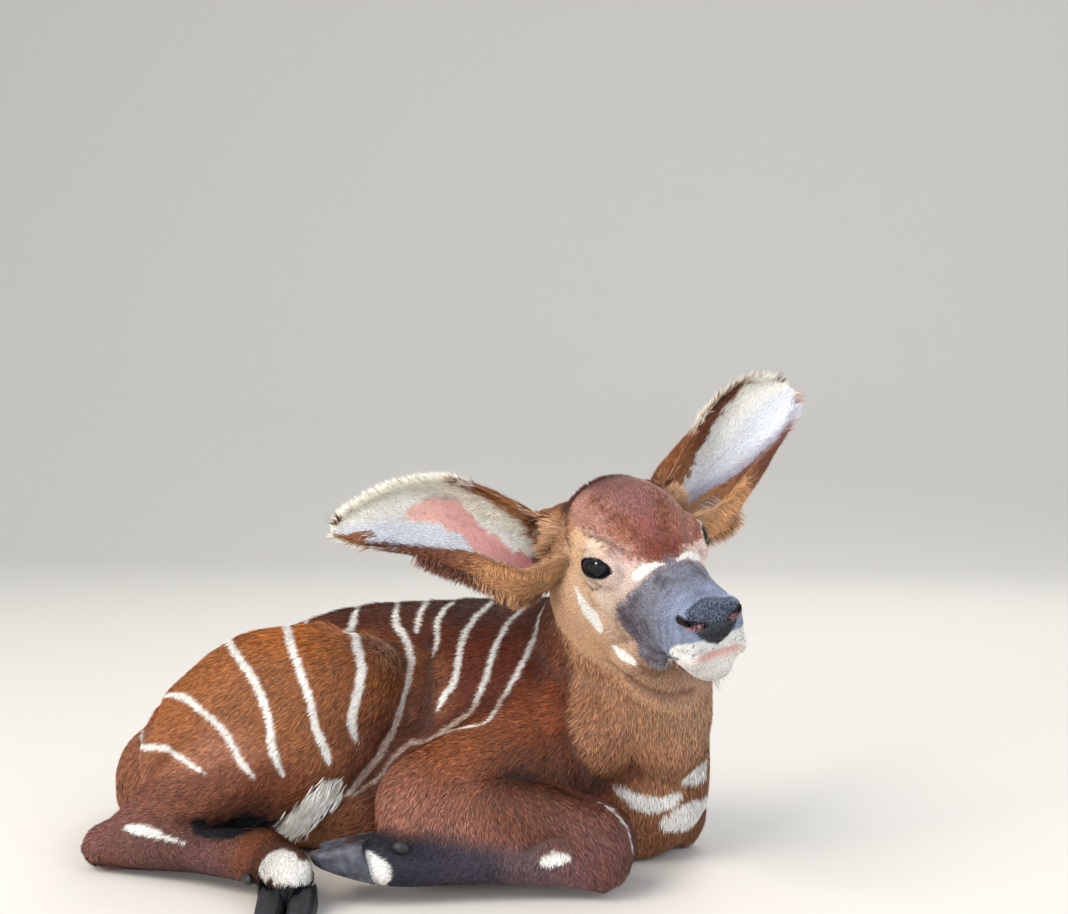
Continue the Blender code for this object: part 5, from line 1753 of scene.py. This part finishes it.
LOCKS = (
    # white fan before the thigh, black hair beside it, fringe over the hind hooves, and white hair by a fore
    # hoof and on the knee
    Lock(Seat.BODY, ((-50, -90, 72), (-62, -88, 60), (-76, -80, 48), (-88, -70, 38)), (-0.62, 0.05, -0.75),
         15, 2800, 10,
         "#fffaf0", 0.8),
    # black hair beside the fan, deepened as painted shade of the crevice between thigh and shank
    Lock(Seat.BODY, ((-146, -98, 38), (-130, -82, 35), (-112, -80, 37)), (-0.9, -0.1, -0.35), 15, 2800, 14,
         "#15151a", 0.8),
    Lock(Seat.BODY, ((-70, -186, 20), (-60, -192, 18), (-45, -198, 18), (-28, -198, 18)), (0.0, -0.6, -0.8),
         11, 1700, 6,
         "#121216", 0.6),
    Lock(Seat.BODY, ((4, -168, 40), (8, -170, 31), (10, -168, 22)), (-0.95, -0.1, -0.2), 9, 500, 3,
         "#ece8e2", 0.5),
    Lock(Seat.BODY, ((130, -132, 34), (141, -130, 36)), (0.1, -0.6, -0.7), 4, 220, 3, "#f0ede6", 0.45),
    # fringes of the ears
    Lock(Seat.RIGHT_EAR, ((0.05, 0.85), (0.18, 0.97), (0.30, 0.98), (0.36, 0.96)), (0.25, 0.9, -0.1), 7,
         900, 4,
         "#bd8a5e", 0.4),
    Lock(Seat.RIGHT_EAR, ((0.08, 0.45), (0.2, 0.5), (0.42, 0.52)), (0.2, 0.95, -0.15), 9, 2000, 9,
         "#b58a66", 0.45),
    Lock(Seat.RIGHT_EAR, ((0.38, 0.5), (0.46, 0.52), (0.54, 0.52), (0.62, 0.55)), (0.35, 0.9, -0.15), 11,
         1300, 8,
         "#754a3a", 0.45),
    Lock(Seat.RIGHT_EAR, ((0.42, -0.97), (0.6, -0.97), (0.8, -0.97), (0.97, -0.9)), (0.75, -0.55, 0.1), 9,
         1500, 3,
         "#f3eddd", 0.4),
    Lock(Seat.RIGHT_EAR, ((0.40, 0.35), (0.55, 0.30), (0.70, 0.35), (0.84, 0.3)), (0.75, 0.5, 0.5), 10,
         1300, 6,
         "#e0e4ee", 0.4),
    Lock(Seat.RIGHT_EAR, ((0.12, -0.62), (0.22, -0.66), (0.34, -0.62)), (0.75, 0.55, 0.3), 11, 1100, 4,
         "#e8e1d0", 0.4),
    Lock(Seat.LEFT_EAR, ((0.04, 0.80), (0.14, 0.95), (0.26, 0.98), (0.36, 0.98)), (0.25, 0.95, -0.1), 11,
         1300, 4,
         "#c79466", 0.45),
    Lock(Seat.LEFT_EAR, ((0.22, 0.0), (0.32, 0.10)), (0.15, 0.95, 0.35), 12, 80, 3, "#e4e6ee", 0.3),
    Lock(Seat.LEFT_EAR, ((0.05, 0.5), (0.16, 0.55), (0.28, 0.55)), (0.1, 0.95, -0.1), 13, 1100, 8,
         "#c99a70", 0.4),
    Lock(Seat.LEFT_EAR, ((0.45, -0.9), (0.7, -0.95), (0.95, -0.9)), (0.75, -0.5, 0.1), 9, 800, 3, "#e2d8c4",
         0.4),
    # tan fur before the ear's root
    Lock(Seat.HEAD, ((-20, -50, 26), (-24, -52, 14), (-27, -53, 2)), (-0.55, -0.8, 0.1), 12, 1300, 6,
         "#b98f6c", 0.4, 0.3),
    # the dark ridge over the crown
    Lock(Seat.HEAD, ((-19, -42, 29), (-26, -38, 33), (-33, -29, 38), (-33, -16, 44), (-31, 0, 48)),
         (-0.9, 0.25, 0.25), 5,
         900, 3, "#4d2a1d", 0.4, 0.3),
    # lashes, feelers of the lips and chin
    Lock(Seat.HEAD, ((24, -45, 21), (34, -43, 23.5), (44, -39, 20)), (0.35, -0.85, 0.25), 6, 70, 0.6,
         "#141012", 0.22, 0.6),
    Lock(Seat.HEAD, ((112, -22, -46), (122, -12, -52), (126, 6, -52)), (0.15, -0.1, -1), 11, 60, 5,
         "#8d8478", 0.16, 0.6),
    Lock(Seat.HEAD, ((122, -27, -24), (132, -22, -19), (138, -12, -17)), (0.4, -0.7, -0.5), 9, 30, 3,
         "#d8d4cc", 0.14, 0.8),
)


@dataclass
class Coat:
    """The calf's hair, sown over the skin."""

    skin: Skin
    markings: Markings
    comb: Comb
    thickness: float = 1.0
    most: int = 95000  # tufts in one piece

    def unwrap(self) -> np.ndarray:
        """Unwraps the skin and returns the place of each corner of its faces."""
        mesh = self.skin.obj.data
        mesh.uv_layers.new(name="OFBake")
        bpy.context.view_layer.objects.active = self.skin.obj
        self.skin.obj.select_set(True)
        bpy.ops.object.mode_set(mode="EDIT")
        bpy.ops.mesh.select_all(action="SELECT")
        bpy.ops.uv.smart_project(angle_limit=math.radians(70), island_margin=0.001)
        bpy.ops.object.mode_set(mode="OBJECT")
        self.skin.obj.select_set(False)
        values = np.empty(len(mesh.loops) * 2, np.float32)
        mesh.uv_layers["OFBake"].uv.foreach_get("vector", values)
        return values.reshape(-1, 2)

    def sow(self) -> None:
        """Places every tuft, sets its size and colour and builds the pieces."""
        rng = np.random.default_rng(SEED)
        mesh = self.skin.obj.data
        uvs = self.unwrap()
        LOG.info("unwrapped")
        mesh.calc_loop_triangles()
        count = len(mesh.loop_triangles)
        corners = np.empty(count * 3, np.int32)
        loops = np.empty(count * 3, np.int32)
        mesh.loop_triangles.foreach_get("vertices", corners)
        mesh.loop_triangles.foreach_get("loops", loops)
        corners, loops = corners.reshape(-1, 3), loops.reshape(-1, 3)
        points, normals = vertex_rows(mesh), vertex_rows(mesh, "normal")
        a, b, c = (points[corners[:, k]] for k in range(3))
        area = 0.5 * np.linalg.norm(np.cross(b - a, c - a), axis=1) / MM**2
        density = self.skin.weights @ np.array([HAIR[part].density for part in Part])
        striped = self.markings.near_stripes(points)
        density *= 1 + 1.1 * striped
        expected = area * density[corners].mean(1) * self.thickness
        number = np.floor(expected + rng.random(count)).astype(int)
        face = np.repeat(np.arange(count), number)
        mix = rng.dirichlet((1, 1, 1), len(face))
        pick = corners[face]

        def blend(values: np.ndarray) -> np.ndarray:
            """Values of the vertices at each root."""
            return np.einsum("ij,ij...->i...", mix, values[pick])

        root, normal, weights = blend(points), unit(blend(normals)), blend(self.skin.weights)
        sides = self.skin.ear_sides[pick[:, 0]]
        patch = np.einsum("ij,ijk->ik", mix, uvs[loops[face]])
        near = blend(striped)
        # painted shade of the folds on the tufts
        kept = 1 - blend(self.skin.crease)[:, None] * np.array(CREASE_SHADE)
        kinds = {name: np.array([getattr(HAIR[part], name) for part in Part]) for name in ("length",
                                                                                           "width", "lift")}
        length, width, lift = (weights @ kinds[name] for name in ("length", "width", "lift"))
        local = self.skin.head.inside(root) / MM
        muzzle = soft_step(45, 95, local[:, 0]) * weights[:, Part.HEAD.value]
        length *= (1 - 0.45 * muzzle) * (1 - 0.25 * near)
        width *= (1 - 0.15 * muzzle) * (1 - 0.25 * near)
        way = self.comb.directions(root, normal, weights, sides)
        middle = root + way * (length * 0.5 * MM)[:, None]
        colour, zones = self.markings.colours(middle, normal, weights, sides)
        colour *= kept
        length, lift, keep = self.adjust(root, normal, local, weights, zones, length, lift, rng, sides)
        LOG.info("combed")
        turn = 0.16 * ripple(root, 0.012, 21) + rng.normal(0, 0.12, len(root))
        across = np.cross(normal, way)
        way = unit(way * np.cos(turn)[:, None] + across * np.sin(turn)[:, None])
        uneven = 0.38 * (1 - 0.78 * soft_step(0.25, 0.6, colour.max(1)))
        colour = colour * (1 + uneven * rng.normal(0, 1, len(root)))[:, None].clip(0.35, 1.9)
        # some tufts lighter and more golden: partly ginger hairs of the coat, partly painted glints
        ginger_and_glint = rng.random(len(root))[:, None] ** 3 * 0.6 * (colour.max(1) < 0.5)[:, None]
        colour = colour * (1 - ginger_and_glint) + np.minimum(1, colour * np.array((1.9, 1.8, 1.6))) * ginger_and_glint
        length = length * MM * rng.uniform(0.75, 1.2, len(root))
        width = width * MM * rng.uniform(0.75, 1.2, len(root))
        lift = lift * rng.uniform(0.6, 1.5, len(root))
        tufts = Tufts(root, normal, way, length, width, lift, colour, patch)
        labels = weights.argmax(1)
        material = HairFinish().material()
        groups = {
            "coat_trunk": (Part.TRUNK, Part.TAIL), "coat_thighs": (Part.THIGH,), "coat_arms": (Part.ARM,),
            "coat_legs": (Part.SHANK, Part.CANNON, Part.FOOT), "coat_neck": (Part.NECK,),
            "coat_head": (Part.HEAD,), "coat_ears": (Part.EAR,),
        }
        slots = {"coat_head": "head_coat", "coat_ears": "ear", "coat_legs": "leg_coat",
                 "coat_thighs": "leg_coat",
                 "coat_arms": "leg_coat"}
        for name, parts in groups.items():
            rows = np.flatnonzero(np.isin(labels, [part.value for part in parts]) & keep)
            pieces = max(1, math.ceil(len(rows) / self.most))
            for index in range(pieces):
                label = name if pieces == 1 else f"{name}_{index + 1}"
                tufts.part(rows[index::pieces]).build(label, material, slots.get(name, "coat"))
            LOG.info("%s: %d tufts", name, len(rows))
        self.locks(uvs, corners, loops, material)

    def roots(self, lock: Lock, side: int, rng: np.random.Generator) -> tuple[np.ndarray, np.ndarray]:
        """Where a lock's hairs start and which way they go.

        Args:
            lock: The lock.
            side: -1 on the calf's right, as it is drawn, and 1 for its mirror image.
            rng: The random generator.

        Returns:
            Places near the skin and ways, one row each.
        """
        head = self.skin.head
        share = rng.random(lock.count)
        rows = np.array(lock.line, float)
        steps = np.linspace(0, 1, len(rows))
        line = np.column_stack([np.interp(share, steps, column) for column in rows.T])
        ways = np.array(lock.way)[None, :] + rng.normal(0, 0.12, (lock.count, 3))
        if lock.seat in (Seat.RIGHT_EAR, Seat.LEFT_EAR):
            ear = RIGHT_EAR if lock.seat is Seat.RIGHT_EAR else LEFT_EAR
            _, _, ahead, facing, across = ear.axes(head)
            places = np.array([ear.place(head, *row) for row in line])
            ways = ways @ np.array([ahead, across, facing])
        else:
            mirror = np.array((1, -side, 1))
            places, ways = line * MM * mirror, ways * mirror
            if lock.seat is Seat.HEAD:
                matrix = np.array(head.matrix())
                places = places @ matrix[:3, :3].T + matrix[:3, 3]
                ways = ways @ matrix[:3, :3].T
            elif side > 0:
                places[:, 1] += 2 * MIDLINE
        return places + rng.normal(0, lock.spread * MM * 0.5, places.shape), unit(ways)

    def locks(self, uvs: np.ndarray, corners: np.ndarray, loops: np.ndarray, material: Material) -> None:
        """Makes the longer hairs.

        Args:
            uvs: The unwrap's place of each corner of the skin.
            corners: Vertices of the skin's triangles.
            loops: Their corners.
            material: The hair's finish.
        """
        rng = np.random.default_rng(SEED + 1)
        points = vertex_rows(self.skin.obj.data)
        tree = BVHTree.FromPolygons(points.tolist(), corners.tolist())
        groups = {"locks_body": [], "locks_head": [], "locks_ears": []}
        for lock in LOCKS:
            on_ear = lock.seat in (Seat.RIGHT_EAR, Seat.LEFT_EAR)
            name = "locks_ears" if on_ear else "locks_head" if lock.seat is Seat.HEAD else "locks_body"
            for side in (-1, 1) if lock.both_sides and not on_ear else (-1,):
                places, ways = self.roots(lock, side, rng)
                found = [tree.find_nearest(Vector(place)) for place in places]
                root = np.array([item[0] for item in found])
                normal = np.array([item[1] for item in found])
                patch = uvs[loops[[item[2] for item in found]]].mean(1)
                count = len(root)
                colour = linear(lock.colour)[None, :] * rng.normal(1.0, 0.18, count)[:, None].clip(0.5, 1.4)
                kept = np.einsum("ij,ij->i", ways, normal).clip(-0.2, 0.7)[:, None]
                ways = ways - normal * np.einsum("ij,ij->i", ways, normal)[:, None]
                ways = unit(unit(ways) + normal * kept)
                length = lock.length * MM * rng.uniform(0.6, 1.2, count)
                width = lock.width * MM * rng.uniform(0.8, 1.2, count)
                groups[name].append((root, normal, ways, length, width, np.full(count, lock.lift), colour,
                                     patch))
        outline = ((0.0, 0.0), (0.2, 0.9), (0.55, 1.0), (0.8, 0.6), (1.0, 0.0))
        for name, parts in groups.items():
            fields = [np.concatenate(column) for column in zip(*parts)]
            slot = {"locks_ears": "ear", "locks_head": "head_coat"}.get(name, "coat")
            Tufts(*fields, outline, 0.6).build(name, material, slot)

    def adjust(self, root: np.ndarray, normal: np.ndarray, local: np.ndarray, weights: np.ndarray,
               zones: np.ndarray, length: np.ndarray, lift: np.ndarray, rng: np.random.Generator,
               sides: np.ndarray) -> tuple[np.ndarray, np.ndarray, np.ndarray]:
        """Longer, shorter and bare places of the coat.

        Args:
            root: Roots of the tufts.
            normal: Normals there.
            local: Roots in head coordinates, in mm.
            weights: Share of each part.
            zones: Wet and bare skin.
            length: Lengths in mm.
            lift: Lifts.
            rng: The random generator.
            sides: Which side an ear's roots are on.

        Returns:
            New lengths and lifts, and which tufts are kept.
        """
        keep = zones[:, 0] < 0.35
        keep &= rng.random(len(root)) > zones[:, 1] * 0.985
        keep &= ~((root[:, 2] < 0.005) & (normal[:, 2] < -0.5))
        head = weights[:, Part.HEAD.value] > 0.3
        folded = np.column_stack([local[:, 0], np.abs(local[:, 1]), local[:, 2]])
        eye = np.linalg.norm(folded - np.array(self.skin.head.eye) / MM,
                             axis=1) - self.skin.head.eye_radius / MM
        keep &= ~(head & (eye < 1.6))
        length = np.where(head, length * (0.45 + 0.55 * soft_step(2, 12, eye)), length)
        spine = np.exp(-(((root[:, 1] - MIDLINE) / 0.010) ** 2)) * (weights[:,
                                                                            Part.TRUNK.value] + weights[:,
                                                                                                        Part.NECK.value])
        spine *= (normal[:, 2] > 0.6) * soft_step(-0.24, -0.15, root[:, 0])
        length = length * (1 + 0.5 * spine)
        lift = lift * (1 + 0.9 * spine)
        for ear in EARS:
            held = (weights[:, Part.EAR.value] > 0.5) & (sides == ear.side)
            share, wide, within = ear.inside(self.skin.head, root[held], normal[held]).T
            rim = soft_step(0.55, 0.95, np.abs(wide)) * within + (1 - within) * soft_step(0.8, 1.0,
                                                                                          np.abs(wide)) * 0.5
            base = soft_step(0.35, 0.05, share)
            length[held] *= 1 + 1.2 * rim + 0.9 * base * (1 - within)
            lift[held] *= 1 + 1.2 * rim * within + 0.3 * base
        return length, lift, keep


@dataclass
class Eye:
    """One eyeball: near black, with a brown iris, a level pupil and a wet surface."""

    side: int
    head: HeadForm

    def material(self) -> Material:
        """Dark iris and pupil under a clear wet coat."""
        material, tree, shader = new_material("wet_eye")
        place = add_node(tree, "Attribute", {"attribute_name": "gaze"}).outputs["Vector"]
        parts = add_node(tree, "SeparateXYZ", inputs={"Vector": place})
        flat = add_node(tree, "CombineXYZ", inputs={"X": parts.outputs["X"], "Y": parts.outputs["Y"]})
        edge = add_node(tree, "VectorMath", {"operation": "LENGTH"}, {0: flat.outputs["Vector"]})
        ramp = add_node(tree, "ValToRGB", inputs={"Fac": edge.outputs["Value"]})
        stops = ((0.0, "#040507"), (0.32, "#06070a"), (0.40, "#12131a"), (0.62, "#1a1c26"), (0.72, "#0b0c10"),
                 (1.0, "#0d0e12"))
        elements = ramp.color_ramp.elements
        while len(elements) < len(stops):
            elements.new(0.5)
        for element, (position, colour) in zip(elements, stops):
            element.position = position
            element.color = rgba(colour)
        tree.links.new(ramp.outputs["Color"], shader.inputs["Base Color"])
        shader.inputs["Roughness"].default_value = 0.3
        shader.inputs["Specular IOR Level"].default_value = 0.0
        shader.inputs["Coat Weight"].default_value = 1.0
        shader.inputs["Coat IOR"].default_value = 1.37
        shader.inputs["Coat Roughness"].default_value = 0.02
        return material

    def build(self) -> None:
        """Makes the ball with a slight swell where it looks out, in place of the solid."""
        radius = self.head.eye_radius
        bm = bmesh.new()
        bmesh.ops.create_uvsphere(bm, u_segments=64, v_segments=40, radius=radius)
        gaze = []
        for vert in bm.verts:
            gaze.append((vert.co.x / radius * 0.8, vert.co.y / radius, vert.co.z / radius))
            vert.co *= 1 + 0.03 * max(0.0, vert.co.z / radius) ** 4
        placed = self.head.matrix() @ self.head.eye_matrix(self.side)
        bmesh.ops.transform(bm, matrix=placed, verts=bm.verts)
        bmesh.ops.recalc_face_normals(bm, faces=bm.faces)
        name = "eyeball_left" if self.side > 0 else "eyeball_right"
        mesh = bpy.data.meshes.new(name)
        bm.to_mesh(mesh)
        bm.free()
        layer = mesh.attributes.new("gaze", "FLOAT_VECTOR", "POINT")
        layer.data.foreach_set("vector", np.array(gaze, np.float32).ravel())
        mesh.shade_smooth()
        mesh.materials.append(self.material())
        made = bpy.data.objects.new(name, mesh)
        bpy.context.scene.collection.objects.link(made)
        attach(made, "root")
        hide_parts("eye_left" if self.side > 0 else "eye_right")


@dataclass(frozen=True)
class Horn:
    """Hoof horn: slate grey, smooth but for faint growth rings."""

    name: str = "hoof_horn"
    dark: str = "#22222b"
    light: str = "#50535f"

    def material(self) -> Material:
        """Builds the material."""
        material, tree, shader = new_material(self.name)
        place = add_node(tree, "TexCoord").outputs["Object"]
        cloud = add_node(tree, "TexNoise", inputs={"Vector": place, "Scale": 120.0, "Detail": 4.0})
        ramp = add_node(tree, "ValToRGB", inputs={"Fac": cloud.outputs["Fac"]})
        ramp.color_ramp.elements[0].position = 0.35
        ramp.color_ramp.elements[0].color = rgba(self.dark)
        ramp.color_ramp.elements[1].position = 0.7
        ramp.color_ramp.elements[1].color = rgba(self.light)
        tree.links.new(ramp.outputs["Color"], shader.inputs["Base Color"])
        fine = add_node(tree, "TexNoise", inputs={"Vector": place, "Scale": 900.0, "Detail": 4.0})
        bump = add_node(tree, "Bump", inputs={"Strength": 0.5, "Distance": 0.0006,
                                              "Height": fine.outputs["Fac"]})
        tree.links.new(bump.outputs["Normal"], shader.inputs["Normal"])
        shader.inputs["Roughness"].default_value = 0.5
        return material


def is_horn(name: str) -> bool:
    """Whether a node is a claw or dewclaw that shows.

    Args:
        name: The node's name.

    Returns:
        True for horn, but not where all but a sliver of it is sunk in the flesh.
    """
    low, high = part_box(name)
    return ("hoof" in name or "dewclaw" in name) and min(high[i] - low[i] for i in range(3)) > 0.002


class Hooves:
    """Claws and dewclaws, drawn finer from their solids."""

    def build(self) -> None:
        """Makes each one's smooth piece in place of the solid."""
        fore, hind = Horn().material(), Horn("dark_horn", "#0f0f12", "#26262c").material()
        for name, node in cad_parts.items():
            if not is_horn(name):
                continue
            bm = bmesh.new()
            bm.from_mesh(node.data)
            bmesh.ops.remove_doubles(bm, verts=bm.verts, dist=1e-6)
            if "dewclaw" in name:  # half hidden in the hair
                middle = sum((vert.co for vert in bm.verts), Vector()) / len(bm.verts)
                bmesh.ops.scale(bm, vec=(0.74, 0.74, 0.74), space=Matrix.Translation(-middle), verts=bm.verts)
            made = object_from(bm, name.replace("hoof", "claw").replace("dewclaw", "dew") + "_horn")
            modified(made, "REMESH", mode="VOXEL", voxel_size=0.0009)
            modified(made, "SMOOTH", factor=0.5, iterations=5)
            made.data.materials.clear()
            made.data.materials.append(fore if name.startswith("fore") and "hoof" in name else hind)
            made.data.shade_smooth()
            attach(made, "root")
            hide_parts(name)


@dataclass(frozen=True)
class Studio:
    """A plain pale floor that turns up into a backdrop, and soft lights."""

    floor_colour: str = "#d8d4cd"

    def build(self) -> None:
        """Makes the floor, the lights and the surrounding light."""
        material, tree, shader = new_material("studio_paper")
        shader.inputs["Base Color"].default_value = rgba(self.floor_colour)
        shader.inputs["Roughness"].default_value = 0.9
        bm = bmesh.new()
        low = bm.edges.new([bm.verts.new((x, -9.0, 0.0)) for x in (-14.0, 14.0)])
        for way in ((0, 15.0, 0), (0, 0, 12.0)):
            made = bmesh.ops.extrude_edge_only(bm, edges=[low])["geom"]
            low = next(item for item in made if isinstance(item, bmesh.types.BMEdge))
            bmesh.ops.translate(bm, vec=way, verts=low.verts)
        fold = [e for e in bm.edges if all(v.co.y > 5.9 and v.co.z < 0.1 for v in e.verts)]
        bmesh.ops.bevel(bm, geom=fold, offset=3.0, offset_type="OFFSET", affect="EDGES", segments=24,
                        profile=0.5, material=-1)
        floor = object_from(bm, "studio_floor")
        floor.data.materials.append(material)
        floor.data.shade_smooth()
        world = bpy.data.worlds.new("studio_air")
        world.use_nodes = True
        world.node_tree.nodes["Background"].inputs["Color"].default_value = rgba("#e9eef4")
        world.node_tree.nodes["Background"].inputs["Strength"].default_value = 0.85
        bpy.context.scene.world = world
        for name, place, size, energy, colour in (
            ("key", (-1.2, -2.4, 2.6), 2.0, 98.0, "#fff6ea"),
            ("fill", (2.4, -1.9, 1.5), 2.2, 46.0, "#e8f0ff"),
            ("back", (0.6, 2.2, 2.3), 1.8, 30.0, "#ffffff"),
            ("window", (-1.0, -2.5, 0.62), 0.6, 30.0, "#ffffff"),
        ):
            data = bpy.data.lights.new(name, "AREA")
            data.size = size
            data.energy = energy
            data.color = tuple(linear(colour))
            light = bpy.data.objects.new(name, data)
            light.location = place
            aim = Vector((0.0, 0.0, 0.12)) - Vector(place)
            light.rotation_euler = aim.to_track_quat("-Z", "Y").to_euler()
            bpy.context.scene.collection.objects.link(light)


def main() -> None:
    """Builds the calf piece by piece."""
    logging.basicConfig(level=logging.INFO, format="%(relativeCreated)d %(message)s")
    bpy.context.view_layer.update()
    bpy.context.scene.view_settings.view_transform = "Standard"
    PhotoCamera().build()
    Studio().build()
    head = HeadForm()
    skin = Skin(head)
    skin.build()
    markings = Markings(head, skin.tree())
    skin.dress(markings)
    LOG.info("skin dressed")
    Coat(skin, markings, Comb(head)).sow()
    for side in (1, -1):
        Eye(side, head).build()
    Hooves().build()
    LOG.info("eyes and hooves")


if __name__ == "__main__":
    main()
